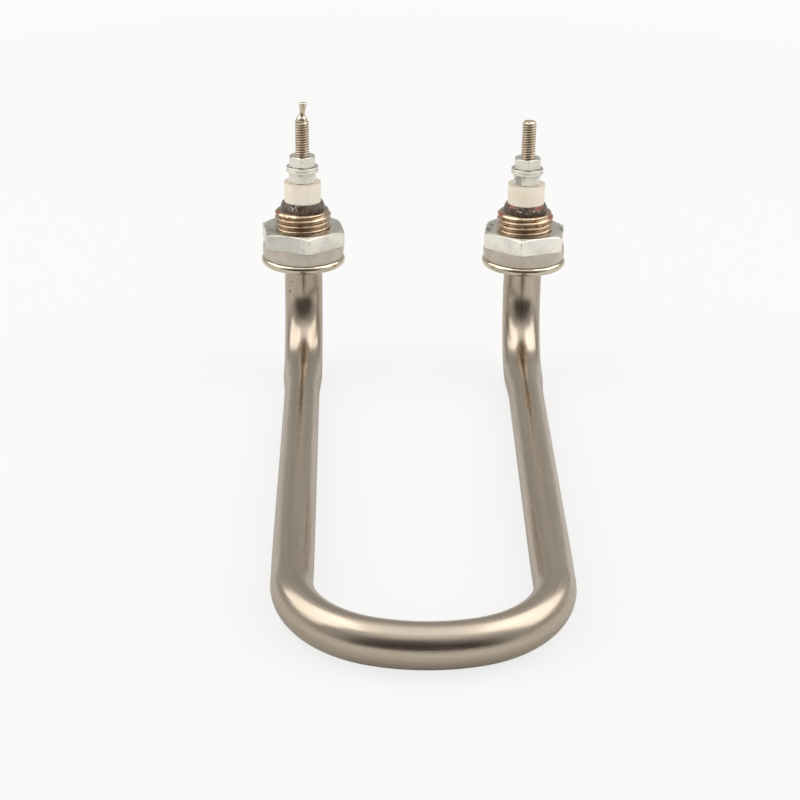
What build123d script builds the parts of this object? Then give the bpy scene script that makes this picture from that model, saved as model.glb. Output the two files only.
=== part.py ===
from build123d import *
from collections import namedtuple
from math import acos, atan2, cos, degrees, hypot, pi, radians, sin
import os

# Tubular heating element: a metal-sheathed tube bent to a flat U loop, whose two ends turn up
# through threaded bushes that clamp in a tank wall. Millimetres, +Z up, the loop runs to -Y.
# The origin lies midway between the two terminals, level with the upper faces of their upper nuts.

os.makedirs("parts", exist_ok=True)

Section = namedtuple("Section", "across through")

# ---------------------------------------------------------------- driving dimensions

# the loop
terminal_spacing = 63.5     # between the axes of the two upright ends
loop_spacing = 57.5         # between the leg centrelines where the rounded end begins
end_radius = 40.0           # centreline radius of the wide arc across the rounded end
end_arc_from = 74.0         # degrees from sideways at which a corner arc passes into it
reach = 160.0               # from the terminal axes to the centreline of the rounded end
loop_drop = 29.0            # from the bush's sealing face down to the loop's centreline
elbow_radius = 20.0         # centreline radius where each end turns up
leg_blend = 15.0            # length over which the elbow's oval returns to round
bow_blend = 12.0            # length over which a leg takes on the rounded end's oval

# the sheath: outside sizes across and through the tube, which bending turns oval
stub_size = Section(10.6, 10.6)
elbow_size = Section(10.9, 9.4)
leg_size = Section(9.6, 9.6)
bow_size = Section(9.4, 10.2)
sheath_wall = 0.8
sheath_above_bush = 1.5     # the sheath's end stands proud of the bush

# the threaded bush, its seal and its lock nut
bush_thread_d = 16.0
bush_root_d = 14.2          # at the thread's root, inside the lock nut and behind the seal
bush_free_thread = 4.9      # thread that shows above the lock nut
bush_chamfer = 0.7
flange_d = 24.0
flange_thickness = 2.4
flange_lip_radius = 1.0
seal_d = 22.8
seal_bore = 16.2
seal_height = 3.9
seal_bulge = 0.25           # how far the squeezed seal stands out at mid height
lock_nut_flats = 22.0
lock_nut_height = 4.7
lock_nut_face_d = 21.0      # top face, inside the 30 degree chamfer
lock_nut_under_d = 23.0     # underside, inside its smaller chamfer

# the terminal insulation
ceramic_d = 10.4
ceramic_height = 6.6        # above the end of the sheath
ceramic_fillet = 0.6
spigot_length = 4.0         # plugs into the sheath
bead_d = 13.0               # sealing bead round the joint of sheath and ceramic
bead_height = 2.6
bead_foot_d = 12.2

# the terminal pin and its hardware
stud_d = 4.0
stud_root_d = 3.2           # at the thread's root, inside the two nuts
free_stud = 9.9             # full thread above the upper nut
stud_chamfer = 0.45
shank_d = 3.5
nut_flats = 7.0
nut_height = 3.0
nut_face_d = 6.9            # faces of the small nuts, inside their chamfers
washer_d = 9.0
washer_bore = 4.3
washer_thickness = 0.8
washer_edge = 0.12

# the heater inside the sheath
coil_d = 4.4
coil_wire = 0.5
coil_grip = 3.0             # length of pin that the coil's end turns hold
cold_length = 1.0           # straight pin left above the elbow

fit_gap = 0.05              # between a round piece and what it sits in, on each side
nut_chamfer_angle = 30.0
hexagon = 6

# turn of each hexagon about its axis, in degrees, as the nuts ended up when tightened
lock_nut_turn = {"left": 7.5, "right": -2.8}
lower_nut_turn = {"left": -7.5, "right": -15.0}
upper_nut_turn = {"left": -2.0, "right": 0.0}

# ---------------------------------------------------------------- heights and centreline

stud_from = 0.0
upper_nut_from = stud_from - nut_height
washers_from = upper_nut_from - 2 * washer_thickness
ceramic_top = washers_from - nut_height
sheath_top = ceramic_top - ceramic_height
bush_top = sheath_top - sheath_above_bush
nut_face = bush_top - bush_free_thread
seal_top = nut_face - lock_nut_height
sealing_face = seal_top - seal_height
flange_underside = sealing_face - flange_thickness
loop_height = sealing_face - loop_drop
elbow_top = loop_height + elbow_radius
spigot_end = sheath_top - spigot_length
stud_top = stud_from + free_stud
pin_end = elbow_top + cold_length
coil_top = pin_end + coil_grip

# The rounded end is a wide arc between two tighter corner arcs. Each leg leans inwards from its
# elbow to touch its corner arc.
terminal_x = terminal_spacing / 2
turned = radians(end_arc_from)
corner_radius = (loop_spacing / 2 - end_radius * cos(turned)) / (1 - cos(turned))
end_centre = Vector(0, end_radius - reach, loop_height)
end_outwards = Vector(cos(turned), -sin(turned), 0)
corner_centre = end_centre + end_outwards * (end_radius - corner_radius)
from_corner = Vector(terminal_x, 0, loop_height) - corner_centre
to_corner = hypot(from_corner.X, from_corner.Y)
lean = acos(corner_radius / to_corner) - atan2(from_corner.Y, from_corner.X)
leg_span = (to_corner**2 - corner_radius**2) ** 0.5

across = Vector(cos(lean), -sin(lean), 0)
forward = Vector(-sin(lean), -cos(lean), 0)
down = Vector(0, 0, -1)
elbow_start = Vector(terminal_x, 0, elbow_top)
elbow_centre = elbow_start + forward * elbow_radius
leg_start = elbow_centre + down * elbow_radius
leg_length = leg_span - elbow_radius
bow_start = leg_start + forward * leg_length
end_start = end_centre + end_outwards * end_radius
end_forward = Vector(-sin(turned), -cos(turned), 0)


def grown(sizes, amount):
    """The same run of sections, larger all round by amount on each side."""
    return {name: Section(s.across + 2 * amount, s.through + 2 * amount) for name, s in sizes.items()}


def round_run(diameter):
    """A run whose section is the same circle everywhere."""
    return {name: Section(diameter, diameter) for name in ("stub", "elbow", "leg", "bow")}


def section_on(plane, size):
    """An ellipse, or a circle where both sizes are equal, on the given plane."""
    with BuildSketch(plane) as profile:
        if size.across == size.through:
            Circle(size.across / 2)
        else:
            Ellipse(size.across / 2, size.through / 2)
    return profile.sketch


def add_straight(start, direction, length, first, last, mode):
    """A straight stretch whose section eases from first to last."""
    if first == last:
        extrude(section_on(Plane(origin=start, x_dir=across, z_dir=direction), first),
                amount=length, mode=mode)
        return
    steps = 4
    profiles = []
    for step in range(steps + 1):
        along = step / steps
        eased = (1 - cos(pi * along)) / 2
        size = Section(*(a + (b - a) * eased for a, b in zip(first, last)))
        origin = start + direction * (length * along)
        profiles.append(section_on(Plane(origin=origin, x_dir=across, z_dir=direction), size))
    loft(profiles, mode=mode)


def follow_centreline(top, sizes, mode=Mode.ADD):
    """The right-hand half of a run along the element, from height top to the middle of the rounded end."""
    blend_from = min(top, flange_underside)
    stub_start = Vector(terminal_x, 0, top)
    blend_start = Vector(terminal_x, 0, blend_from)
    if top > blend_from:
        add_straight(stub_start, down, top - blend_from, sizes["stub"], sizes["stub"], mode)
    add_straight(blend_start, down, blend_from - elbow_top, sizes["stub"], sizes["elbow"], mode)

    elbow_profile = section_on(Plane(origin=elbow_start, x_dir=across, z_dir=down), sizes["elbow"])
    revolve(elbow_profile, axis=Axis(elbow_centre, -across), revolution_arc=90, mode=mode)

    plain = leg_length - leg_blend - bow_blend
    plain_start = leg_start + forward * leg_blend
    plain_end = plain_start + forward * plain
    add_straight(leg_start, forward, leg_blend, sizes["elbow"], sizes["leg"], mode)
    add_straight(plain_start, forward, plain, sizes["leg"], sizes["leg"], mode)
    add_straight(plain_end, forward, bow_blend, sizes["leg"], sizes["bow"], mode)

    bow_profile = section_on(Plane(origin=bow_start, x_dir=across, z_dir=forward), sizes["bow"])
    revolve(bow_profile, axis=Axis(corner_centre, down), revolution_arc=end_arc_from - degrees(lean),
            mode=mode)
    end_profile = section_on(Plane(origin=end_start, x_dir=end_outwards, z_dir=end_forward),
                             sizes["bow"])
    revolve(end_profile, axis=Axis(end_centre, down), revolution_arc=90 - end_arc_from, mode=mode)


def finish(part, label):
    """Label a finished piece and write it to its own file."""
    part.label = label
    export_step(part, f"parts/{label}.step")


# ---------------------------------------------------------------- the sheathed heater

sheath_outside = {"stub": stub_size, "elbow": elbow_size, "leg": leg_size, "bow": bow_size}
sheath_inside = grown(sheath_outside, -sheath_wall)

with BuildPart() as sheath_tube:
    follow_centreline(sheath_top, sheath_outside)
    follow_centreline(sheath_top, sheath_inside, Mode.SUBTRACT)
    mirror(about=Plane.YZ)
finish(sheath_tube.part, "sheath_tube")

# Compacted magnesia fills the sheath round the coil and the pins.
with BuildPart() as magnesia_filling:
    follow_centreline(spigot_end, grown(sheath_inside, -fit_gap))
    follow_centreline(coil_top + fit_gap, round_run(coil_d + 2 * fit_gap), Mode.SUBTRACT)
    with BuildSketch(Plane(origin=(terminal_x, 0, coil_top))):
        Circle(shank_d / 2 + fit_gap)
    extrude(amount=spigot_end - coil_top, mode=Mode.SUBTRACT)
    mirror(about=Plane.YZ)
finish(magnesia_filling.part, "magnesia_filling")

# The resistance wire is wound turn on turn, so the coil is one thin sleeve.
with BuildPart() as heating_coil:
    follow_centreline(coil_top, round_run(coil_d))
    follow_centreline(coil_top, round_run(coil_d - 2 * coil_wire), Mode.SUBTRACT)
    mirror(about=Plane.YZ)
finish(heating_coil.part, "heating_coil")

coil_bore = coil_d - 2 * coil_wire
with BuildPart() as magnesia_core:
    follow_centreline(pin_end, round_run(coil_bore - 2 * fit_gap))
    mirror(about=Plane.YZ)
finish(magnesia_core.part, "magnesia_core")

# ---------------------------------------------------------------- the two terminals


def upright(x):
    """The plane through one terminal's axis: local X is the radius, local Y the height."""
    return Plane(origin=(x, 0, 0), x_dir=(1, 0, 0), z_dir=(0, -1, 0))


def add_disc(x, height, diameter, thickness, mode=Mode.ADD):
    """A disc on one terminal's axis, whose underside is at the given height."""
    with BuildSketch(Plane(origin=(x, 0, height))) as disc:
        Circle(diameter / 2)
    extrude(disc.sketch, amount=thickness, mode=mode)


def add_nut(x, height, flats, thickness, bore, face_d, under_d, turn):
    """A hexagon nut with a corner to the front, both rims turned to a 30 degree chamfer."""
    corner_r = flats / 2 / cos(pi / hexagon)
    slope = sin(radians(nut_chamfer_angle)) / cos(radians(nut_chamfer_angle))
    top_drop = (corner_r - face_d / 2) * slope
    under_rise = (corner_r - under_d / 2) * slope
    with BuildSketch(Plane(origin=(x, 0, height))) as outline:
        RegularPolygon(corner_r, hexagon, rotation=-90 + turn)
        Circle(bore / 2, mode=Mode.SUBTRACT)
    extrude(outline.sketch, amount=thickness)
    with BuildSketch(upright(x)) as turned:
        with BuildLine():
            Polyline(
                (0, height),
                (under_d / 2, height),
                (corner_r, height + under_rise),
                (corner_r, height + thickness - top_drop),
                (face_d / 2, height + thickness),
                (0, height + thickness),
                close=True,
            )
        make_face()
    revolve(turned.sketch, axis=Axis((x, 0, 0), (0, 0, 1)), mode=Mode.INTERSECT)


def add_pin_shaft(x):
    """The pin from its end inside the sheath to the top of its full thread."""
    add_disc(x, pin_end, coil_bore - 2 * fit_gap, coil_grip)
    add_disc(x, coil_top, shank_d, ceramic_top - coil_top)
    add_disc(x, ceramic_top, stud_root_d, stud_from - ceramic_top)
    add_disc(x, stud_from, stud_d, stud_top - stud_from)


# The left pin still carries the tail where it was drawn out and pinched off the rod: each entry
# is the height above the thread, the diameter and the sideways lean of the tail.
pinched_tail = (
    (0.0, 3.9, 0.0),
    (1.35, 1.55, 0.05),
    (1.9, 1.25, 0.1),
    (3.0, 1.5, 0.22),
    (3.9, 1.7, 0.32),
    (4.6, 2.15, 0.4),
    (5.1, 1.5, 0.42),
)

for side, x in (("left", -terminal_x), ("right", terminal_x)):
    axis = Axis((x, 0, 0), (0, 0, 1))

    with BuildPart() as threaded_bush:
        add_disc(x, flange_underside, flange_d, flange_thickness)
        rims = threaded_bush.edges().filter_by(GeomType.CIRCLE)
        fillet(rims, flange_lip_radius)
        add_disc(x, sealing_face, bush_root_d, nut_face - sealing_face)
        add_disc(x, nut_face, bush_thread_d, bush_free_thread)
        chamfer(threaded_bush.edges().group_by(Axis.Z)[-1], bush_chamfer)
        add_disc(x, flange_underside, stub_size.across + 2 * fit_gap, bush_top - flange_underside,
                 Mode.SUBTRACT)
    finish(threaded_bush.part, f"{side}_threaded_bush")

    with BuildPart() as sealing_washer:
        with BuildSketch(upright(x)):
            with BuildLine():
                foot = (seal_d / 2, sealing_face)
                waist = (seal_d / 2 + seal_bulge, (sealing_face + seal_top) / 2)
                brim = (seal_d / 2, seal_top)
                ThreePointArc(foot, waist, brim)
                Polyline(brim, (seal_bore / 2, seal_top), (seal_bore / 2, sealing_face), foot)
            make_face()
        revolve(axis=axis)
    finish(sealing_washer.part, f"{side}_sealing_washer")

    with BuildPart() as lock_nut:
        add_nut(x, seal_top, lock_nut_flats, lock_nut_height, bush_root_d + 2 * fit_gap,
                lock_nut_face_d, lock_nut_under_d, lock_nut_turn[side])
    finish(lock_nut.part, f"{side}_lock_nut")

    with BuildPart() as ceramic_bush:
        add_disc(x, sheath_top, ceramic_d, ceramic_height)
        fillet(ceramic_bush.edges().group_by(Axis.Z)[-1], ceramic_fillet)
        add_disc(x, spigot_end, stub_size.across - 2 * sheath_wall - 2 * fit_gap, spigot_length)
        add_disc(x, spigot_end, shank_d + 2 * fit_gap, ceramic_top - spigot_end, Mode.SUBTRACT)
    finish(ceramic_bush.part, f"{side}_ceramic_bush")

    with BuildPart() as sealing_bead:
        with BuildSketch(upright(x)):
            with BuildLine():
                around_sheath = stub_size.across / 2 + fit_gap
                around_ceramic = ceramic_d / 2 + fit_gap
                bead_top = bush_top + bead_height
                foot = (bead_foot_d / 2, bush_top)
                crest = (around_ceramic, bead_top)
                ThreePointArc(foot, (bead_d / 2, bush_top + bead_height * 0.55), crest)
                Polyline(crest, (around_ceramic, sheath_top), (around_sheath, sheath_top),
                         (around_sheath, bush_top), foot)
            make_face()
        revolve(axis=axis)
    finish(sealing_bead.part, f"{side}_sealing_bead")

    with BuildPart() as lower_nut:
        add_nut(x, ceramic_top, nut_flats, nut_height, stud_root_d + 2 * fit_gap,
                nut_face_d, nut_face_d, lower_nut_turn[side])
    finish(lower_nut.part, f"{side}_lower_nut")

    for place, name in enumerate(("lower_washer", "upper_washer")):
        with BuildPart() as washer:
            add_disc(x, washers_from + place * washer_thickness, washer_d, washer_thickness)
            chamfer(washer.edges().filter_by(GeomType.CIRCLE), washer_edge)
            add_disc(x, washers_from, washer_bore, 2 * washer_thickness, Mode.SUBTRACT)
        finish(washer.part, f"{side}_{name}")

    with BuildPart() as upper_nut:
        add_nut(x, upper_nut_from, nut_flats, nut_height, stud_root_d + 2 * fit_gap,
                nut_face_d, nut_face_d, upper_nut_turn[side])
    finish(upper_nut.part, f"{side}_upper_nut")

    with BuildPart() as terminal_pin:
        add_pin_shaft(x)
        if side == "right":
            add_disc(x, stud_top, stud_d, stud_chamfer)
            chamfer(terminal_pin.edges().group_by(Axis.Z)[-1], stud_chamfer)
        else:
            for rise, diameter, shift in pinched_tail:
                with BuildSketch(Plane(origin=(x + shift, 0, stud_top + rise))):
                    Circle(diameter / 2)
            loft(ruled=True)
    finish(terminal_pin.part, f"{side}_terminal_pin")
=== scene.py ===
"""Looks of the tubular heating element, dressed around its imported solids.

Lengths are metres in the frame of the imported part: +Z up along the terminals, the loop runs to -Y.
Each sub-assembly is a class that builds its meshes and dresses them with the finishes below.
"""

import logging
from dataclasses import dataclass
from enum import Enum
from math import acos, atan2, cos, hypot, pi, radians, sin, tan
from typing import Callable, ClassVar, Optional, Sequence, Union

import bmesh
import bpy
from mathutils import Matrix, Vector, noise


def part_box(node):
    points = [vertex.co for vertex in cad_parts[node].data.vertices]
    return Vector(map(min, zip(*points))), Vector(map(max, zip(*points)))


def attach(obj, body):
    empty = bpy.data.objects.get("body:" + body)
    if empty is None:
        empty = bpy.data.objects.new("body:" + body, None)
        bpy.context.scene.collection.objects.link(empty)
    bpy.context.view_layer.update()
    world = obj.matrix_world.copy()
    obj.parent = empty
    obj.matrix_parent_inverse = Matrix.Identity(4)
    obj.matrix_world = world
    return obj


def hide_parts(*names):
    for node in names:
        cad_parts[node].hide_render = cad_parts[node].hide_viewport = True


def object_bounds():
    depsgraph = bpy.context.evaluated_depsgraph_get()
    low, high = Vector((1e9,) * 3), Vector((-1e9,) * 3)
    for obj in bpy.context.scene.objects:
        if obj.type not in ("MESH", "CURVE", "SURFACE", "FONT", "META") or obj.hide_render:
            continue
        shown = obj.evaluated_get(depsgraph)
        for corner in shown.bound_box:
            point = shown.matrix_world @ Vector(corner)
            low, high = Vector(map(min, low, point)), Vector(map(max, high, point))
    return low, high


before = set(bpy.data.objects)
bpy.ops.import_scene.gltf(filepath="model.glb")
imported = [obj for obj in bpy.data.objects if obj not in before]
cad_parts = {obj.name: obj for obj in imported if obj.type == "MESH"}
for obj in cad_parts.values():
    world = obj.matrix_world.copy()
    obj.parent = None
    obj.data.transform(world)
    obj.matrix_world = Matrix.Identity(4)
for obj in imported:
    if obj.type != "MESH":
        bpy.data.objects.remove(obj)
cad_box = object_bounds()

LOG = logging.getLogger("heating_element")

Colour = tuple[float, float, float, float]
Span = tuple[float, float]
Triple = tuple[float, float, float]
Profile = Sequence[tuple[float, float]]
Rim = list[bmesh.types.BMEdge]
Value = Union[bpy.types.NodeSocket, float, tuple]

MM = 0.001
BODY = "root"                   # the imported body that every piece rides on
HEXAGON = 6                     # sides
TURN = 2 * pi
WELD = 1e-6                     # corners nearer than this are one corner
ON_CUT = 1e-8                   # a corner this near to a cutting plane lies on it
WHOLE: Span = (0.0, 1.0)
FALLING: Span = (1.0, 0.0)
MOTTLED: Span = (0.3, 0.7)      # between these lie most values of a noise
WHITE: Colour = (1.0, 1.0, 1.0, 1.0)
UP = Vector((0, 0, 1))
DOWN = -UP


def rgb(red: float, green: float, blue: float) -> Colour:
    """An opaque linear colour."""
    return (red, green, blue, 1.0)


class Side(Enum):
    """The two ends of the element."""

    LEFT = "left"
    RIGHT = "right"


class PinEnd(Enum):
    """How the free end of a terminal pin is finished."""

    CHAMFERED = "chamfered"
    PINCHED_OFF = "pinched off"


@dataclass(frozen=True)
class Room:
    """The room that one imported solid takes, read from the frame."""

    x: float
    radius: float
    low: float
    high: float

    @classmethod
    def of(cls, node: str) -> "Room":
        """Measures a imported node: its upright axis, its radius across Y and its two heights."""
        low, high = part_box(node)
        return cls((low.x + high.x) / 2, (high.y - low.y) / 2, low.z, high.z)

    @property
    def height(self) -> float:
        """Height of the solid."""
        return self.high - self.low

    @property
    def middle(self) -> float:
        """Half way between its two heights."""
        return (self.low + self.high) / 2


# ---------------------------------------------------------------------------- node trees


@dataclass(frozen=True)
class Mottle:
    """A noise: its scale, its detail and how rough that detail is."""

    scale: Value
    detail: float = 3.0
    rough: float = 0.5


@dataclass(frozen=True)
class Patches:
    """Soft-edged patches: scale of their noise, the level of it at their edge and the edge's softness."""

    scale: float
    level: float
    softness: float


@dataclass(frozen=True)
class Relief:
    """A fine relief: its strength, and its depth in metres."""

    strength: float
    depth: float


class Board:
    """A node tree with short ways to place and join nodes."""

    def __init__(self, tree: bpy.types.NodeTree) -> None:
        """Works on the tree of a material, of a group or of the world."""
        self.tree = tree

    def feed(self, node: bpy.types.Node, inputs: dict[Union[str, int], Value]) -> None:
        """Gives a node its inputs.

        Args:
            node: a node of this tree.
            inputs: values or output sockets, by the input's name or number.
        """
        for key, value in inputs.items():
            if isinstance(value, bpy.types.NodeSocket):
                self.tree.links.new(value, node.inputs[key])
            else:
                node.inputs[key].default_value = value

    def add(self, kind: str, inputs: Optional[dict[Union[str, int], Value]] = None,
            **settings: object) -> bpy.types.Node:
        """Places one node.

        Args:
            kind: the node's type.
            inputs: values or output sockets, by the input's name or number.
            settings: the node's own properties.

        Returns:
            The new node.
        """
        made = self.tree.nodes.new(kind)
        for name, value in settings.items():
            setattr(made, name, value)
        self.feed(made, inputs or {})
        return made

    def maths(self, operation: str, *values: Value) -> bpy.types.NodeSocket:
        """The result of one operation on up to three values."""
        return self.add("ShaderNodeMath", dict(enumerate(values)), operation=operation).outputs[0]

    def vector(self, operation: str, *values: Value) -> bpy.types.NodeSocket:
        """The vector that one operation makes of up to two vectors."""
        return self.add("ShaderNodeVectorMath", dict(enumerate(values)), operation=operation).outputs[0]

    def length(self, vector: Value) -> bpy.types.NodeSocket:
        """The length of a vector."""
        return self.add("ShaderNodeVectorMath", {0: vector}, operation="LENGTH").outputs["Value"]

    def axis(self, vector: Value, number: int) -> bpy.types.NodeSocket:
        """One of a vector's X, Y and Z, numbered from 0."""
        return self.add("ShaderNodeSeparateXYZ", {0: vector}).outputs[number]

    def ramp(self, value: Value, span: tuple[Value, Value], result: Span = WHOLE) -> bpy.types.NodeSocket:
        """Eases a value from one span to another.

        Args:
            value: what is read.
            span: the two values that give the ends of the result.
            result: what is given at and under the first of them, and at and over the second.

        Returns:
            The eased value.
        """
        inputs = dict(enumerate((value, *span, *result)))
        return self.add("ShaderNodeMapRange", inputs, interpolation_type="SMOOTHSTEP").outputs[0]

    def blend(self, share: Value, first: Value, second: Value) -> bpy.types.NodeSocket:
        """Mixes two colours: share 0 gives the first, 1 the second. Its colour sockets are 6, 7 and 2."""
        return self.add("ShaderNodeMix", {0: share, 6: first, 7: second}, data_type="RGBA").outputs[2]

    def stretch(self, vector: Value, scale: Triple) -> bpy.types.NodeSocket:
        """Scales a coordinate."""
        return self.add("ShaderNodeMapping", {"Vector": vector, "Scale": scale}).outputs["Vector"]

    def cloud(self, vector: Value, mottle: Mottle) -> bpy.types.NodeSocket:
        """The value of a noise, around a half."""
        inputs = {"Vector": vector, "Scale": mottle.scale, "Detail": mottle.detail, "Roughness": mottle.rough}
        return self.add("ShaderNodeTexNoise", inputs).outputs[0]

    def bump(self, height: Value, relief: Relief) -> bpy.types.NodeSocket:
        """The normal of a surface with a relief of the given heights."""
        inputs = {"Strength": relief.strength, "Distance": relief.depth, "Height": height}
        return self.add("ShaderNodeBump", inputs).outputs[0]

    def group(self, effect: "Effect", inputs: dict[str, Value]) -> bpy.types.Node:
        """Places a shared effect with this material's own values."""
        return self.add("ShaderNodeGroup", inputs, node_tree=effect.tree())


class Effect:
    """A shared shader node group, built the first time that a material asks for it.

    Each input has a name, a socket type and a default. Each output is a plain value.
    """

    name: ClassVar[str] = "effect"
    inputs: ClassVar[tuple[tuple[str, str, object], ...]] = ()
    outputs: ClassVar[tuple[str, ...]] = ("Mask",)
    _made: ClassVar[dict[str, bpy.types.NodeTree]] = {}

    def tree(self) -> bpy.types.NodeTree:
        """Builds the group, or finds it if it is there.

        Returns:
            The group's tree.
        """
        if self.name not in self._made:
            made = bpy.data.node_groups.new(self.name, "ShaderNodeTree")
            for label, kind, default in self.inputs:
                socket = made.interface.new_socket(label, in_out="INPUT", socket_type=kind)
                socket.default_value = default
            for label in self.outputs:
                made.interface.new_socket(label, in_out="OUTPUT", socket_type="NodeSocketFloat")
            board = Board(made)
            given, result = board.add("NodeGroupInput"), board.add("NodeGroupOutput")
            board.feed(result, self.fill(board, given))
            self._made[self.name] = made
        return self._made[self.name]

    def fill(self, board: Board, given: bpy.types.Node) -> dict[str, bpy.types.NodeSocket]:
        """Places the nodes between the group's input and output.

        Args:
            board: the group's tree.
            given: the group's input node.

        Returns:
            What each output puts out.
        """
        raise NotImplementedError


class DrawnGrain(Effect):
    """Lengthwise drawing marks on a tube: broad bands and fine lines, read along its run."""

    name = "drawn_grain"
    inputs = (("Run", "NodeSocketVector", (0, 0, 0)),)
    outputs = ("Bands", "Lines")
    scales: ClassVar[dict[str, Triple]] = {"Bands": (420.0, 420.0, 9.0), "Lines": (3200.0, 3200.0, 60.0)}
    marks: ClassVar[Mottle] = Mottle(1.0, 3.0, 0.55)

    def fill(self, board: Board, given: bpy.types.Node) -> dict[str, bpy.types.NodeSocket]:
        """Scales the run so that the marks are far longer than wide.

        Args:
            board: the group's tree.
            given: the group's input node.

        Returns:
            The bands and the lines, each a value around a half.
        """
        run = given.outputs["Run"]
        return {label: board.cloud(board.stretch(run, scale), self.marks)
                for label, scale in self.scales.items()}


class Blotches(Effect):
    """Soft-edged patches that cover a chosen share of a surface."""

    name = "blotches"
    inputs = (("Place", "NodeSocketVector", (0, 0, 0)), ("Scale", "NodeSocketFloat", 500.0),
              ("Level", "NodeSocketFloat", 0.5), ("Softness", "NodeSocketFloat", 0.1))
    detail: ClassVar[float] = 4.0
    rough: ClassVar[float] = 0.6
    edge: ClassVar[Span] = (-0.5, 0.5)

    def fill(self, board: Board, given: bpy.types.Node) -> dict[str, bpy.types.NodeSocket]:
        """Cuts a noise at the level that gives the share.

        Args:
            board: the group's tree.
            given: the group's input node.

        Returns:
            The mask, 1 inside a patch.
        """
        level = board.cloud(given.outputs["Place"], Mottle(given.outputs["Scale"], self.detail, self.rough))
        over = board.maths("SUBTRACT", level, given.outputs["Level"])
        return {"Mask": board.ramp(board.maths("DIVIDE", over, given.outputs["Softness"]), self.edge)}


class RaggedSpot(Effect):
    """One ragged spot round a point, stretched by the given reach on each axis."""

    name = "ragged_spot"
    inputs = (("Place", "NodeSocketVector", (0, 0, 0)), ("Centre", "NodeSocketVector", (0, 0, 0)),
              ("Reach", "NodeSocketVector", (0.001, 0.001, 0.001)))
    fray: ClassVar[Mottle] = Mottle(2200.0, 4.0, 0.7)
    fray_depth: ClassVar[float] = 3.0
    edge: ClassVar[Span] = (2.15, 2.4)

    def fill(self, board: Board, given: bpy.types.Node) -> dict[str, bpy.types.NodeSocket]:
        """Measures the distance from the centre and frays it with noise.

        Args:
            board: the group's tree.
            given: the group's input node.

        Returns:
            The mask, 1 inside the spot.
        """
        away = board.vector("SUBTRACT", given.outputs["Place"], given.outputs["Centre"])
        distance = board.length(board.vector("DIVIDE", away, given.outputs["Reach"]))
        fray = board.cloud(given.outputs["Place"], self.fray)
        frayed = board.maths("MULTIPLY_ADD", fray, self.fray_depth, distance)
        return {"Mask": board.ramp(frayed, self.edge, FALLING)}


class RootDarkening(Effect):
    """Darkening in the roots of a thread, the more the nearer the surface is to the upright axis."""

    name = "root_darkening"
    inputs = (("Place", "NodeSocketVector", (0, 0, 0)), ("Axis", "NodeSocketVector", (0, 0, 0)),
              ("Root", "NodeSocketFloat", 0.001), ("Plain", "NodeSocketFloat", 0.002))

    def fill(self, board: Board, given: bpy.types.Node) -> dict[str, bpy.types.NodeSocket]:
        """Measures the distance from the axis.

        Args:
            board: the group's tree.
            given: the group's input node.

        Returns:
            The mask, 1 at the root's radius and 0 from the plain radius on.
        """
        away = board.vector("SUBTRACT", given.outputs["Place"], given.outputs["Axis"])
        distance = board.length(board.vector("MULTIPLY", away, (1, 1, 0)))
        return {"Mask": board.ramp(distance, (given.outputs["Root"], given.outputs["Plain"]), FALLING)}


# ---------------------------------------------------------------------------- finishes


@dataclass(frozen=True)
class Spot:
    """A small mark on a surface: its centre, its reach along X, Y and Z, in metres."""

    centre: Triple
    reach: Triple


Marks = tuple[Spot, ...]


class Finish:
    """A surface finish: one material, made the first time that it is asked for."""

    name: str = "finish"
    _made: ClassVar[dict[str, bpy.types.Material]] = {}

    def material(self) -> bpy.types.Material:
        """Makes the material of this finish, or finds it if it is there.

        Returns:
            The material.
        """
        if self.name not in self._made:
            made = bpy.data.materials.new(self.name)
            made.use_nodes = True
            made.node_tree.nodes.clear()
            board = Board(made.node_tree)
            shader = board.add("ShaderNodeBsdfPrincipled")
            self.paint(board, shader)
            board.add("ShaderNodeOutputMaterial", {"Surface": self.surface(board, shader).outputs[0]})
            self._made[self.name] = made
        return self._made[self.name]

    def paint(self, board: Board, shader: bpy.types.Node) -> None:
        """Fills in the shader.

        Args:
            board: the material's tree.
            shader: its Principled BSDF.
        """
        raise NotImplementedError

    def surface(self, board: Board, shader: bpy.types.Node) -> bpy.types.Node:
        """The shader that the surface ends with, here the painted one itself."""
        return shader

    @staticmethod
    def place(board: Board) -> bpy.types.NodeSocket:
        """The Object coordinate of the piece."""
        return board.add("ShaderNodeTexCoord").outputs["Object"]

    @staticmethod
    def patches(board: Board, place: bpy.types.NodeSocket, kind: Patches) -> bpy.types.NodeSocket:
        """One mask of soft-edged patches.

        Args:
            board: the material's tree.
            place: the coordinate that the patches follow.
            kind: their scale, level and softness.

        Returns:
            The mask, 1 inside a patch.
        """
        inputs = {"Place": place, "Scale": kind.scale, "Level": kind.level, "Softness": kind.softness}
        return board.group(Blotches(), inputs).outputs["Mask"]

    @staticmethod
    def spots(board: Board, place: bpy.types.NodeSocket, marks: Marks) -> bpy.types.NodeSocket:
        """One mask that covers every given mark.

        Args:
            board: the material's tree.
            place: the coordinate that the marks are given in.
            marks: the marks, at least one.

        Returns:
            The mask, 1 on a mark.
        """
        mask = None
        for mark in marks:
            inputs = {"Place": place, "Centre": mark.centre, "Reach": mark.reach}
            spot = board.group(RaggedSpot(), inputs).outputs["Mask"]
            mask = spot if mask is None else board.maths("MAXIMUM", mask, spot)
        return mask

    @staticmethod
    def root_darkness(board: Board, place: bpy.types.NodeSocket, axis_x: float,
                  radii: Span) -> bpy.types.NodeSocket:
        """One mask that darkens a thread's roots.

        Args:
            board: the material's tree.
            place: the coordinate that the radii are measured in.
            axis_x: where the thread's upright axis stands.
            radii: up to the first the darkening is full, and from the second on there is none.

        Returns:
            The mask, 1 in the roots.
        """
        inputs = {"Place": place, "Axis": (axis_x, 0, 0), "Root": radii[0], "Plain": radii[1]}
        return board.group(RootDarkening(), inputs).outputs["Mask"]


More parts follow.
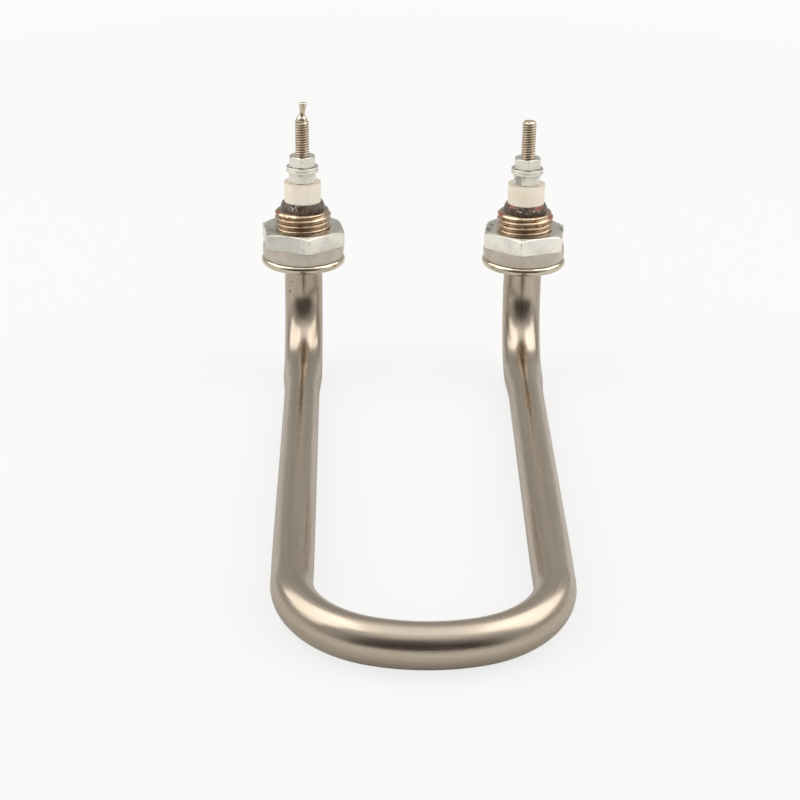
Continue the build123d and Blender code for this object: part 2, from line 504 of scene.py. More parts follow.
@dataclass(frozen=True)
class SatinSteel(Finish):
    """Drawn stainless tube, polished lengthwise, with a few pits."""

    name: str = "satin_steel"
    light: Colour = rgb(0.56, 0.485, 0.40)
    dark: Colour = rgb(0.455, 0.39, 0.318)
    pit: Colour = rgb(0.07, 0.06, 0.055)
    worn: Patches = Patches(90.0, 0.52, 0.25)
    worn_rough: float = 0.04
    lines: Span = (0.3, 0.75)
    rough: Span = (0.19, 0.29)
    band_height: float = 0.6
    pit_depth: float = 3.0
    relief: Relief = Relief(0.35, 0.03 * MM)
    pits: Marks = ()

    def paint(self, board: Board, shader: bpy.types.Node) -> None:
        """Bands of tone and gloss along the tube, fine lines in the relief, dark pits.

        Args:
            board: the material's tree.
            shader: its Principled BSDF.
        """
        run = board.add("ShaderNodeAttribute", attribute_name="run").outputs["Vector"]
        grain = board.group(DrawnGrain(), {"Run": run})
        bands, lines = grain.outputs["Bands"], grain.outputs["Lines"]
        place = self.place(board)
        worn = self.patches(board, place, self.worn)
        colour = board.blend(board.ramp(bands, MOTTLED), self.dark, self.light)
        rough = board.maths("MULTIPLY_ADD", worn, self.worn_rough, board.ramp(lines, self.lines, self.rough))
        height = board.maths("MULTIPLY_ADD", bands, self.band_height, lines)
        if self.pits:
            pits = self.spots(board, place, self.pits)
            colour = board.blend(pits, colour, self.pit)
            height = board.maths("MULTIPLY_ADD", pits, -self.pit_depth, height)
        board.feed(shader, {"Base Color": colour, "Metallic": 1.0, "Roughness": rough,
                            "Normal": board.bump(height, self.relief)})


@dataclass(frozen=True)
class NickelledBrass(Finish):
    """Nickel-plated brass: warm and glossy, with stains and traces of sealant."""

    name: str = "nickelled_brass"
    plate: Colour = rgb(0.68, 0.60, 0.485)
    tarnished: Colour = rgb(0.67, 0.55, 0.41)
    stain: Colour = rgb(0.45, 0.28, 0.16)
    # Colour that the roots of the tarnished thread are darkened towards.
    root_dark: Colour = rgb(0.16, 0.11, 0.065)
    sealant: Colour = rgb(0.33, 0.055, 0.025)
    stains: Patches = Patches(420.0, 0.57, 0.25)
    rough: Span = (0.07, 0.16)
    tarnish_rough: float = 0.09
    sealant_rough: float = 0.2
    root_dark_share: float = 0.38
    root_dark_radii: Span = (7.1 * MM, 7.65 * MM)
    grit: Mottle = Mottle(2400.0, 2.0)
    relief: Relief = Relief(0.15, 0.02 * MM)
    axis_x: float = 0.0
    tarnish_heights: Span = (0.0, 1.0 * MM)
    traces: Marks = ()

    def paint(self, board: Board, shader: bpy.types.Node) -> None:
        """Tarnished above a height, stained in patches; sealant traces are red and not metal.

        Args:
            board: the material's tree.
            shader: its Principled BSDF.
        """
        place = self.place(board)
        tarnish = board.ramp(board.axis(place, 2), self.tarnish_heights)
        stains = self.patches(board, place, self.stains)
        colour = board.blend(tarnish, self.plate, self.tarnished)
        colour = board.blend(board.maths("MULTIPLY", stains, tarnish), colour, self.stain)
        # The tarnished thread is darker in its roots.
        root_dark = board.maths("MULTIPLY", self.root_darkness(board, place, self.axis_x, self.root_dark_radii), tarnish)
        colour = board.blend(board.maths("MULTIPLY", root_dark, self.root_dark_share), colour, self.root_dark)
        rough = board.ramp(stains, WHOLE, self.rough)
        rough = board.maths("MULTIPLY_ADD", tarnish, self.tarnish_rough, rough)
        metal: Value = 1.0
        if self.traces:
            red = self.spots(board, place, self.traces)
            colour = board.blend(red, colour, self.sealant)
            rough = board.maths("MULTIPLY_ADD", red, self.sealant_rough, rough)
            metal = board.ramp(red, WHOLE, FALLING)
        board.feed(shader, {"Base Color": colour, "Metallic": metal, "Roughness": rough,
                            "Normal": board.bump(board.cloud(place, self.grit), self.relief)})


@dataclass(frozen=True)
class ZincPlate(Finish):
    """Zinc-plated steel: pale and clouded, its upright sides more matt than its faces."""

    name: str = "clouded_zinc"
    bright: Colour = rgb(0.80, 0.77, 0.70)
    cloudy: Colour = rgb(0.66, 0.655, 0.595)
    # Colour of the painted shade over given flats.
    flat_shade: Colour = rgb(0.50, 0.495, 0.45)
    # Dark colour of scuffs and marks, and of the painted shade on upward faces and down front corners.
    scuff_and_shade: Colour = rgb(0.12, 0.12, 0.11)
    clouds: Patches = Patches(170.0, 0.58, 0.3)
    scuffs: Patches = Patches(1300.0, 0.70, 0.05)
    scuff_share: float = 0.75
    mark_share: float = 0.6
    # Strength of the painted shade over given flats.
    flat_shade_share: float = 0.7
    bloom: Mottle = Mottle(3000.0, 3.0, 0.65)
    rough: Span = (0.17, 0.30)
    relief: Relief = Relief(0.2, 0.03 * MM)
    side_tilt: Span = (0.2, 0.6)
    side_rough: float = 0.18
    side_metal: float = 0.3
    # Painted shade: faces that point up are darkened, by at most the share on the next line.
    top_tilt: Span = (0.9, 0.98)
    top_shade: float = 0.0
    # Dark scuffs, and dark lines painted down a front corner as its reflection.
    marks: Marks = ()
    # Painted shade: spots that darken given flats of the nut.
    shaded_flat: Marks = ()

    def paint(self, board: Board, shader: bpy.types.Node) -> None:
        """Broad clouds of tone, painted shade on upward faces and on given flats, dark scuffs and marks, and
        a fine crystalline bloom.

        Args:
            board: the material's tree.
            shader: its Principled BSDF.
        """
        place = self.place(board)
        facing = board.axis(board.add("ShaderNodeTexCoord").outputs["Normal"], 2)
        bloom = board.cloud(place, self.bloom)
        colour = board.blend(self.patches(board, place, self.clouds), self.bright, self.cloudy)
        # Painted shade: faces that point up darken towards the dark colour.
        colour = board.blend(board.ramp(facing, self.top_tilt, (0.0, self.top_shade)), colour, self.scuff_and_shade)
        # Painted shade over the given flats.
        if self.shaded_flat:
            shaded_flat = board.maths("MULTIPLY", self.spots(board, place, self.shaded_flat), self.flat_shade_share)
            colour = board.blend(shaded_flat, colour, self.flat_shade)
        scuffs = board.maths("MULTIPLY", self.patches(board, place, self.scuffs), self.scuff_share)
        # The marks, with any line painted down a front corner as its dark reflection, join the scuffs.
        if self.marks:
            marks = board.maths("MULTIPLY", self.spots(board, place, self.marks), self.mark_share)
            scuffs = board.maths("MAXIMUM", scuffs, marks)
        side = board.ramp(board.maths("ABSOLUTE", facing), self.side_tilt, FALLING)
        rough = board.maths("MULTIPLY_ADD", side, self.side_rough, board.ramp(bloom, MOTTLED, self.rough))
        board.feed(shader, {"Base Color": board.blend(scuffs, colour, self.scuff_and_shade),
                            "Metallic": board.ramp(side, WHOLE, (1.0, self.side_metal)), "Roughness": rough,
                            "Normal": board.bump(bloom, self.relief)})


@dataclass(frozen=True)
class SiliconeRubber(Finish):
    """Grey-beige silicone: matt, slightly translucent, with dust."""

    name: str = "silicone_rubber"
    body: Colour = rgb(0.46, 0.405, 0.34)
    dusty: Colour = rgb(0.53, 0.475, 0.405)
    dust: Patches = Patches(260.0, 0.5, 0.3)
    rough: Span = (0.45, 0.62)
    grit: Mottle = Mottle(2600.0)
    relief: Relief = Relief(0.2, 0.03 * MM)
    glow: float = 0.25
    glow_colours: Triple = (0.8, 0.6, 0.45)
    glow_depth: float = 1.5 * MM

    def paint(self, board: Board, shader: bpy.types.Node) -> None:
        """Dust patches on a soft body that lets a little light through.

        Args:
            board: the material's tree.
            shader: its Principled BSDF.
        """
        place = self.place(board)
        dust = self.patches(board, place, self.dust)
        board.feed(shader, {"Base Color": board.blend(dust, self.body, self.dusty),
                            "Roughness": board.ramp(dust, WHOLE, self.rough),
                            "Normal": board.bump(board.cloud(place, self.grit), self.relief),
                            "Subsurface Weight": self.glow, "Subsurface Radius": self.glow_colours,
                            "Subsurface Scale": self.glow_depth})


@dataclass(frozen=True)
class Steatite(Finish):
    """Unglazed cream steatite with faint handling stains."""

    name: str = "steatite"
    body: Colour = rgb(0.84, 0.765, 0.65)
    stained: Colour = rgb(0.76, 0.65, 0.46)
    stains: Patches = Patches(230.0, 0.58, 0.22)
    stain_share: float = 0.5
    pores: Mottle = Mottle(3500.0, 4.0, 0.7)
    rough: Span = (0.5, 0.68)
    relief: Relief = Relief(0.3, 0.03 * MM)

    def paint(self, board: Board, shader: bpy.types.Node) -> None:
        """Faint yellow stains, pores in the relief.

        Args:
            board: the material's tree.
            shader: its Principled BSDF.
        """
        place = self.place(board)
        stains = board.maths("MULTIPLY", self.patches(board, place, self.stains), self.stain_share)
        pores = board.cloud(place, self.pores)
        board.feed(shader, {"Base Color": board.blend(stains, self.body, self.stained),
                            "Roughness": board.ramp(pores, MOTTLED, self.rough),
                            "Normal": board.bump(pores, self.relief)})


@dataclass(frozen=True)
class BurntCompound(Finish):
    """Dark brown cured compound: lumpy, partly glossy, with glints painted on pale crystalline specks, and
    red traces.
    """

    name: str = "burnt_compound"
    brown: Colour = rgb(0.062, 0.038, 0.025)
    grey: Colour = rgb(0.125, 0.092, 0.068)
    # Colour of the painted glints.
    glint_colour: Colour = rgb(0.80, 0.76, 0.74)
    sealant: Colour = rgb(0.27, 0.045, 0.02)
    ash: Patches = Patches(700.0, 0.5, 0.2)
    # The specks that the painted glints are broken into.
    speckle: Patches = Patches(2600.0, 0.56, 0.05)
    sealant_share: float = 0.85
    lumps: Mottle = Mottle(1500.0, 4.0, 0.65)
    lump_values: Span = (0.35, 0.65)
    rough: Span = (0.14, 0.38)
    relief: Relief = Relief(0.6, 0.12 * MM)
    # Painted highlights: where the crystalline specks glint.
    painted_glints: Marks = ()
    traces: Marks = ()

    def paint(self, board: Board, shader: bpy.types.Node) -> None:
        """Grey ash over brown, with white glints painted on crystalline specks in places, and red where the
        traces are.

        Args:
            board: the material's tree.
            shader: its Principled BSDF.
        """
        place = self.place(board)
        lumps = board.cloud(place, self.lumps)
        colour = board.blend(self.patches(board, place, self.ash), self.brown, self.grey)
        # Painted highlights: pale glints on the given spots.
        if self.painted_glints:
            speckle = self.patches(board, place, self.speckle)
            painted_glints = board.maths("MULTIPLY", speckle, self.spots(board, place, self.painted_glints))
            colour = board.blend(painted_glints, colour, self.glint_colour)
        if self.traces:
            red = board.maths("MULTIPLY", self.spots(board, place, self.traces), self.sealant_share)
            colour = board.blend(red, colour, self.sealant)
        board.feed(shader, {"Base Color": colour,
                            "Roughness": board.ramp(lumps, self.lump_values, self.rough),
                            "Normal": board.bump(lumps, self.relief)})


@dataclass(frozen=True)
class StrawSteel(Finish):
    """Steel rod with a straw to brown heat tint."""

    name: str = "straw_steel"
    pale: Colour = rgb(0.75, 0.66, 0.55)
    straw: Colour = rgb(0.63, 0.52, 0.395)
    # Colour of the sooted patches, and of the darkened thread roots.
    soot_and_root_dark: Colour = rgb(0.11, 0.08, 0.055)
    tint: Patches = Patches(480.0, 0.5, 0.3)
    sooted: Patches = Patches(900.0, 0.66, 0.12)
    sooted_share: float = 0.25
    root_share: float = 0.5
    root_radii: Span = (1.6 * MM, 1.86 * MM)
    thread_end: Span = (9.5 * MM, 9.9 * MM)
    rough: Span = (0.24, 0.36)
    grit: Mottle = Mottle(3200.0)
    relief: Relief = Relief(0.12, 0.02 * MM)
    axis_x: float = 0.0

    def paint(self, board: Board, shader: bpy.types.Node) -> None:
        """Tint in soft patches, small sooted patches, and the thread's roots darkened in the same colour.

        Args:
            board: the material's tree.
            shader: its Principled BSDF.
        """
        place = self.place(board)
        tint = self.patches(board, place, self.tint)
        sooted = board.maths("MULTIPLY", self.patches(board, place, self.sooted), self.sooted_share)
        # The thread is darker in its roots, up to where it ends.
        threaded = board.ramp(board.axis(place, 2), self.thread_end, (self.root_share, 0.0))
        roots = board.maths("MULTIPLY", self.root_darkness(board, place, self.axis_x, self.root_radii), threaded)
        colour = board.blend(tint, self.pale, self.straw)
        colour = board.blend(board.maths("MAXIMUM", sooted, roots), colour, self.soot_and_root_dark)
        board.feed(shader, {"Base Color": colour, "Metallic": 1.0,
                            "Roughness": board.ramp(tint, WHOLE, self.rough),
                            "Normal": board.bump(board.cloud(place, self.grit), self.relief)})


@dataclass(frozen=True)
class PressedPowder(Finish):
    """Compacted white magnesia, never seen."""

    name: str = "pressed_powder"
    pale: Colour = rgb(0.85, 0.85, 0.82)
    shade: Colour = rgb(0.74, 0.73, 0.70)
    grains: Mottle = Mottle(1200.0, 4.0, 0.7)
    grain_values: Span = (0.35, 0.65)
    rough: Span = (0.8, 0.95)

    def paint(self, board: Board, shader: bpy.types.Node) -> None:
        """Mottled powder.

        Args:
            board: the material's tree.
            shader: its Principled BSDF.
        """
        grains = board.cloud(self.place(board), self.grains)
        tone = board.ramp(grains, self.grain_values)
        board.feed(shader, {"Base Color": board.blend(tone, self.shade, self.pale),
                            "Roughness": board.ramp(grains, MOTTLED, self.rough)})


@dataclass(frozen=True)
class ResistanceWire(Finish):
    """Oxidised nickel-chromium wire, never seen."""

    name: str = "oxidised_wire"
    metal: Colour = rgb(0.30, 0.28, 0.26)
    oxide: Colour = rgb(0.13, 0.14, 0.14)
    oxidised: Patches = Patches(900.0, 0.5, 0.2)
    rough: Span = (0.35, 0.6)

    def paint(self, board: Board, shader: bpy.types.Node) -> None:
        """Oxide over the wire.

        Args:
            board: the material's tree.
            shader: its Principled BSDF.
        """
        oxide = self.patches(board, self.place(board), self.oxidised)
        board.feed(shader, {"Base Color": board.blend(oxide, self.metal, self.oxide), "Metallic": 1.0,
                            "Roughness": board.ramp(oxide, WHOLE, self.rough)})


# ---------------------------------------------------------------------------- the workshop


@dataclass(frozen=True)
class ThreadForm:
    """An outside thread that runs out into a plain neck below and is chamfered above.

    Its flank gives a share of the depth and a share of the pitch for each corner, up to the crest.
    """

    major_d: float
    root_d: float
    pitch: float
    chamfer: float
    run_in: float           # height over the lower cut that stays at the root's radius
    run_in_slope: float     # how steeply the thread grows over that
    neck_gap: float         # drop from the lower cut to the neck's rim
    segments: int
    flank: ClassVar[Profile] = ((0.0, 0.0), (0.03, 0.09), (0.18, 0.17), (0.84, 0.37), (0.97, 0.44),
                                (1.0, 0.5))

    @property
    def root(self) -> float:
        """Radius at the root."""
        return self.root_d / 2

    @property
    def crest(self) -> float:
        """Radius at the crest."""
        return self.major_d / 2

    def tooth(self) -> Profile:
        """One 60 degree tooth over one pitch: radius and share of the pitch of each corner."""
        rise = [(self.root + share * (self.crest - self.root), along) for share, along in self.flank]
        return rise + [(radius, 1.0 - along) for radius, along in rise[-2::-1]]

    def largest(self, height: float, low: float, high: float, end_slope: float) -> float:
        """The largest radius at a height.

        Args:
            height: the height.
            low: height of the thread's lower cut.
            high: height of its upper cut.
            end_slope: how steeply it narrows at the upper one.

        Returns:
            The radius.
        """
        start = self.root + max(0.0, height - low - self.run_in) * self.run_in_slope
        end = self.crest - self.chamfer + (high - height) * end_slope
        return min(self.crest, start, end)


@dataclass(frozen=True)
class NutForm:
    """A hexagon nut, countersunk and chamfered on both sides."""

    flats: float
    bore: float
    face_d: float           # diameter of the upper face, inside the chamfer
    under_d: float          # diameter of the lower face, inside the chamfer
    chamfer: float          # slope of both chamfers, in degrees
    countersink: float
    edge: float             # rounding of its outer edges
    segments: ClassVar[int] = 96
    sharper: ClassVar[float] = 12.0     # smallest angle that is rounded, in degrees
    rim_margin: ClassVar[float] = 1.2   # edges within this many countersinks of the hole aren't rounded

    @property
    def corner(self) -> float:
        """Distance from the axis to a corner."""
        return self.flats / 2 / cos(pi / HEXAGON)

    def profile(self, room: Room) -> Profile:
        """The turned blank: radius and height of each corner.

        Args:
            room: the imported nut's room.

        Returns:
            The profile, from the hole's lower rim round the outside to its upper one.
        """
        slope = tan(radians(self.chamfer))
        hole, rim = self.bore / 2, self.bore / 2 + self.countersink
        return (
            (hole, room.low + self.countersink),
            (rim, room.low),
            (self.under_d / 2, room.low),
            (self.corner, room.low + (self.corner - self.under_d / 2) * slope),
            (self.corner, room.high - (self.corner - self.face_d / 2) * slope),
            (self.face_d / 2, room.high),
            (rim, room.high),
            (hole, room.high - self.countersink),
        )


class Blank:
    """A piece in the making: a bmesh with the turning, threading and milling steps that pieces share."""

    below_cut: ClassVar[float] = 1.5    # turns of a thread swept below its lower cut
    above_cut: ClassVar[int] = 2        # and turns added so that it ends above its upper one

    def __init__(self, x: float = 0.0) -> None:
        """Starts empty, for a piece whose upright axis stands at x."""
        self.bm = bmesh.new()
        self.x = x

    def spin(self, profile: Profile, segments: int, closed: bool = True, turns: int = 1,
             rise: float = 0.0) -> None:
        """Sweeps a profile about the upright axis.

        Args:
            profile: radius and height of each corner.
            segments: steps of one turn.
            closed: whether the last corner joins the first.
            turns: how many times it goes round.
            rise: rise of one turn. Without one, the sweep's end is joined to its start.
        """
        bm = self.bm
        corners = [bm.verts.new((self.x + radius, 0.0, height)) for radius, height in profile]
        ends = corners[1:] + corners[:1] if closed else corners[1:]
        edges = [bm.edges.new(pair) for pair in zip(corners, ends)]
        bmesh.ops.spin(bm, geom=[*corners, *edges], cent=(self.x, 0, 0), axis=(0, 0, 1),
                       dvec=(0, 0, rise / segments), angle=TURN * turns, steps=segments * turns,
                       use_merge=rise == 0.0, use_duplicate=False)

    def thread(self, form: ThreadForm, low: float, high: float, end_slope: float = 1.0) -> list[Rim]:
        """Sweeps a screw thread as one helix, cuts it flat at both ends and turns it down to its limits.

        Args:
            form: the thread's form.
            low: height of the lower cut.
            high: height of the upper cut.
            end_slope: how steeply it narrows at the upper one.

        Returns:
            Its open rims, from the lowest to the highest.
        """
        start = low - self.below_cut * form.pitch
        turns = int((high - start) / form.pitch) + self.above_cut
        profile = [(radius, start + share * form.pitch) for radius, share in form.tooth()]
        self.spin(profile, form.segments, closed=False, turns=turns, rise=form.pitch)
        bmesh.ops.remove_doubles(self.bm, verts=self.bm.verts[:], dist=WELD)
        self.cut(Vector((0, 0, low)), DOWN)
        self.cut(Vector((0, 0, high)), UP)
        for vert in self.bm.verts:
            away = Vector((vert.co.x - self.x, vert.co.y))
            allowed = form.largest(vert.co.z, low, high, end_slope)
            if away.length > allowed:
                away *= allowed / away.length
                vert.co.x, vert.co.y = self.x + away.x, away.y
        return self.open_rims()

    def cut(self, point: Vector, outwards: Vector) -> Rim:
        """Cuts off what lies beyond a plane.

        Args:
            point: a point of the plane.
            outwards: its direction towards what is cut off.

        Returns:
            The edges of the cut.
        """
        made = bmesh.ops.bisect_plane(self.bm, geom=[*self.bm.verts, *self.bm.edges, *self.bm.faces],
                                      dist=ON_CUT, plane_co=point, plane_no=outwards, clear_outer=True,
                                      clear_inner=False)
        return [item for item in made["geom_cut"] if isinstance(item, bmesh.types.BMEdge)]

    def mill_hexagon(self, flats: float, turn: float) -> None:
        """Mills six flats on a turned blank.

        Args:
            flats: size across the flats.
            turn: turn of the hexagon about its axis, in radians, from a corner to the front.
        """
        for side in range(HEXAGON):
            facing = turn - pi / 2 + (side + 0.5) * TURN / HEXAGON
            outwards = Vector((cos(facing), sin(facing), 0))
            self.close(self.cut(Vector((self.x, 0, 0)) + outwards * flats / 2, outwards))

    def open_rims(self, known: Sequence[Rim] = ()) -> list[Rim]:
        """Finds the open rims of the shape.

        Args:
            known: rims that are left out.

        Returns:
            The rims, from the lowest to the highest.
        """
        left = {edge for edge in self.bm.edges if edge.is_boundary}
        left.difference_update(*known)
        rims = []
        for first in self.bm.edges:
            rim, grow = [], [first] if first in left else []
            left.difference_update(grow)
            while grow:
                edge = grow.pop()
                rim.append(edge)
                near = [other for vert in edge.verts for other in vert.link_edges if other in left]
                left.difference_update(near)
                grow.extend(near)
            if rim:
                rims.append(rim)
        return sorted(rims, key=lambda rim: sum(edge.verts[0].co.z for edge in rim) / len(rim))

    def bridge(self, first: Rim, second: Rim) -> None:
        """Joins two open rims."""
        bmesh.ops.bridge_loops(self.bm, edges=[*first, *second])

    def close(self, rim: Rim) -> None:
        """Closes one open rim with a flat face."""
        bmesh.ops.contextual_create(self.bm, geom=rim)

    def draw_out(self, rim: Rim, move: Matrix) -> tuple[list[bmesh.types.BMVert], Rim]:
        """Draws a rim out to a new place.

        Args:
            rim: the open rim.
            move: takes it to its new place.

        Returns:
            The corners and the edges of the new rim.
        """
        grown = bmesh.ops.extrude_edge_only(self.bm, edges=rim)["geom"]
        verts = [item for item in grown if isinstance(item, bmesh.types.BMVert)]
        edges = [item for item in grown if isinstance(item, bmesh.types.BMEdge)]
        bmesh.ops.transform(self.bm, matrix=move, verts=verts)
        return verts, edges

    def away(self, edge: bmesh.types.BMEdge) -> float:
        """Distance of an edge's middle from the upright axis."""
        middle = (edge.verts[0].co + edge.verts[1].co) / 2
        return hypot(middle.x - self.x, middle.y)

    def round_edges(self, radius: float, segments: int = 2, sharper: float = 25.0,
                    where: Callable[[bmesh.types.BMEdge], bool] = lambda edge: True) -> None:
        """Rounds the sharp edges.

        Args:
            radius: width of the rounding.
            segments: steps across it.
            sharper: smallest angle between faces, in degrees, that counts as sharp.
            where: keeps only some of the sharp edges.
        """
        self.settle()
        sharp = [edge for edge in self.bm.edges
                 if edge.is_manifold and edge.calc_face_angle(0.0) > radians(sharper) and where(edge)]
        bmesh.ops.bevel(self.bm, geom=sharp, offset=radius, segments=segments, profile=0.5, material=-1,
                        affect="EDGES", clamp_overlap=True)

    def settle(self) -> None:
        """Merges doubles and points every face outwards."""
        bmesh.ops.remove_doubles(self.bm, verts=self.bm.verts[:], dist=WELD)
        bmesh.ops.recalc_face_normals(self.bm, faces=self.bm.faces[:])

    def deliver(self, name: str, node: str, slot: str, finish: Finish,
                crease: float = 40.0) -> bpy.types.Object:
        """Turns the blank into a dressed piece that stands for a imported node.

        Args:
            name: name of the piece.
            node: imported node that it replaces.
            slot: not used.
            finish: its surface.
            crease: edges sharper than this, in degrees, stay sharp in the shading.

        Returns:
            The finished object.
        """
        self.settle()
        for face in self.bm.faces:
            face.smooth = True
        for edge in self.bm.edges:
            edge.smooth = edge.calc_face_angle(0.0) < radians(crease)
        piece = self.place(name, finish)
        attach(piece, BODY)
        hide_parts(node)
        return piece

    def place(self, name: str, finish: Finish) -> bpy.types.Object:
        """Puts the shape into the scene, with its finish.

        Args:
            name: name of the object.
            finish: its surface.

        Returns:
            The object.
        """
        mesh = bpy.data.meshes.new(name)
        self.bm.to_mesh(mesh)
        self.bm.free()
        mesh.materials.append(finish.material())
        made = bpy.data.objects.new(name, mesh)
        bpy.context.scene.collection.objects.link(made)
        return made


# ---------------------------------------------------------------------------- the sheath


@dataclass(frozen=True)
class Section:
    """An oval section: its sizes across and through the tube."""

    across: float
    through: float

    def towards(self, other: "Section", share: float) -> "Section":
        """Eases from this section to another.

        Args:
            other: the section at the far end.
            share: the share of the way to it.

        Returns:
            The section there.
        """
        eased = (1 - cos(pi * share)) / 2
        return Section(self.across + (other.across - self.across) * eased,
                       self.through + (other.through - self.through) * eased)


@dataclass(frozen=True)
class Station:
    """One ring of the tube: where it stands, its section and how far the tube has run up to it."""

    place: Matrix
    section: Section
    run: float

    @property
    def matrix(self) -> Matrix:
        """Takes a circle of radius 1 to this ring."""
        return self.place @ Matrix.Diagonal((self.section.across / 2, self.section.through / 2, 1, 1))


class Route:
    """The rings of a tube, set stretch by stretch along its centreline."""

    def __init__(self, start: Vector, across: Vector, section: Section) -> None:
        """Sets the first ring, which faces down.

        Args:
            start: middle of the ring.
            across: the level direction that a section's size across is measured in.
            section: its section.
        """
        self.stations: list[Station] = []
        self.across = across
        self.section = section
        self.run = 0.0
        self.set_ring(start, DOWN, 0.0)

    def set_ring(self, end: Vector, along: Vector, step: float) -> None:
        """Sets one ring, where the route then ends.

        Args:
            end: middle of the ring.
            along: the direction that it faces.
            step: length of tube since the last ring.
        """
        self.end, self.along = end, along
        self.run += step
        place = Matrix((self.across, along.cross(self.across), along)).transposed().to_4x4()
        place.translation = end
        self.stations.append(Station(place, self.section, self.run))

    def straight(self, length: float, last: Section, steps: int) -> None:
        """Goes straight on.

        Args:
            length: length of the stretch.
            last: the section at its end.
            steps: how many rings it has.
        """
        start, first = self.end, self.section
        for step in range(1, steps + 1):
            share = step / steps
            self.section = first.towards(last, share)
            self.set_ring(start + self.along * (length * share), self.along, length / steps)

    def elbow(self, onward: Vector, radius: float, steps: int) -> None:
        """Bends by a quarter turn, with the size across square to the bend.

        Args:
            onward: the direction at the end of the bend.
            radius: radius of the centreline.
            steps: how many rings it has.
        """
        before = self.along
        centre = self.end + onward * radius
        for step in range(1, steps + 1):
            angle = pi / 2 * step / steps
            place = centre - onward * (radius * cos(angle)) + before * (radius * sin(angle))
            self.set_ring(place, before * cos(angle) + onward * sin(angle), radius * pi / 2 / steps)

    def arc(self, centre: Vector, radius: float, start: float, stop: float, steps: int) -> None:
        """Follows a level arc, with the size across in its plane.

        Args:
            centre: its centre.
            radius: radius of the centreline.
            start: angle of its start from +X towards -Y, in radians.
            stop: angle of its end.
            steps: how many rings it has.
        """
        for step in range(1, steps + 1):
            angle = start + (stop - start) * step / steps
            self.across = Vector((cos(angle), -sin(angle), 0))
            along = Vector((-sin(angle), -cos(angle), 0))
            self.set_ring(centre + self.across * radius, along, radius * (stop - start) / steps)


@dataclass(frozen=True)
class Sheath:
    """The bent steel tube, swept ring by ring along its centreline.

    Its bow is a wide arc between two tighter corners. The wide one starts end_arc_from degrees from +X.
    """

    finish: SatinSteel
    loop_spacing: float = 57.5 * MM
    end_radius: float = 40.0 * MM
    end_arc_from: float = 74.0
    elbow_radius: float = 20.0 * MM
    leg_blend: float = 15.0 * MM
    bow_blend: float = 12.0 * MM
    stub: Section = Section(10.6 * MM, 10.6 * MM)
    elbow: Section = Section(10.9 * MM, 9.4 * MM)
    leg: Section = Section(9.6 * MM, 9.6 * MM)
    bow: Section = Section(9.4 * MM, 10.2 * MM)
    wall: float = 0.8 * MM
    segments: int = 80
    stub_rings: int = 6
    neck_rings: int = 10
    elbow_rings: int = 28
    leg_blend_rings: int = 10
    leg_rings: int = 16
    bow_blend_rings: int = 8
    corner_rings: int = 36
    end_rings: int = 12

    def stations(self) -> list[Station]:
        """Works out the rings of the right half.

        Returns:
            The rings, from the tube's end to the middle of the bow.
        """
        low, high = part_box("sheath_tube")
        terminal = Room.of("right_threaded_bush")
        loop_height = low.z + self.bow.through / 2
        turned = radians(self.end_arc_from)
        corner_radius = (self.loop_spacing / 2 - self.end_radius * cos(turned)) / (1 - cos(turned))
        end_centre = Vector((0, low.y + self.bow.across / 2 + self.end_radius, loop_height))
        corner_away = Vector((cos(turned), -sin(turned), 0)) * (self.end_radius - corner_radius)
        corner_centre = end_centre + corner_away
        away_x, away_y = terminal.x - corner_centre.x, -corner_centre.y
        to_corner = hypot(away_x, away_y)
        lean = acos(corner_radius / to_corner) - atan2(away_y, away_x)
        leg_length = (to_corner**2 - corner_radius**2) ** 0.5 - self.elbow_radius

        route = Route(Vector((terminal.x, 0, high.z)), Vector((cos(lean), -sin(lean), 0)), self.stub)
        route.straight(high.z - terminal.low, self.stub, self.stub_rings)
        route.straight(terminal.low - loop_height - self.elbow_radius, self.elbow, self.neck_rings)
        route.elbow(Vector((-sin(lean), -cos(lean), 0)), self.elbow_radius, self.elbow_rings)
        route.straight(self.leg_blend, self.leg, self.leg_blend_rings)
        route.straight(leg_length - self.leg_blend - self.bow_blend, self.leg, self.leg_rings)
        route.straight(self.bow_blend, self.bow, self.bow_blend_rings)
        route.arc(corner_centre, corner_radius, lean, turned, self.corner_rings)
        route.arc(end_centre, self.end_radius, turned, pi / 2, self.end_rings)
        return route.stations

    def build(self) -> bpy.types.Object:
        """Sweeps the right half, mirrors it and gives it its wall.

        Returns:
            The tube, with how far each point lies from the middle of the bow in its attribute run.
        """
        blank = Blank()
        bm = blank.bm
        run = bm.verts.layers.float_vector.new("run")
        rings = self.stations()
        middle = rings[-1].run
        bmesh.ops.create_circle(bm, cap_ends=False, segments=self.segments, radius=1.0,
                                matrix=rings[0].matrix)
        for number, vert in enumerate(bm.verts):
            angle = TURN * number / self.segments
            vert[run] = (self.leg.across / 2 * cos(angle), self.leg.across / 2 * sin(angle), middle)
        edges = bm.edges[:]
        for last, now in zip(rings, rings[1:]):
            verts, edges = blank.draw_out(edges, now.matrix @ last.matrix.inverted())
            for vert in verts:
                vert[run] = (vert[run][0], vert[run][1], middle - now.run)
        for vert in verts:
            vert.co.x = 0.0
        bmesh.ops.mirror(bm, geom=[*bm.verts, *bm.edges, *bm.faces], merge_dist=WELD, axis="X")
        for vert in bm.verts:
            if vert.co.x < -WELD:
                vert[run] = (vert[run][0], vert[run][1], -vert[run][2])
        piece = blank.deliver("bent_sheath", "sheath_tube", "sheath", self.finish)
        wall = piece.modifiers.new("wall", "SOLIDIFY")
        wall.thickness = self.wall
        wall.offset = -1.0
        return piece

    @staticmethod
    def dress_filling() -> None:
        """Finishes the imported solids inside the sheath."""
        for name, finish in (("magnesia_filling", PressedPowder()), ("magnesia_core", PressedPowder()),
                             ("heating_coil", ResistanceWire())):
            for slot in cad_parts[name].material_slots:
                slot.material = finish.material()


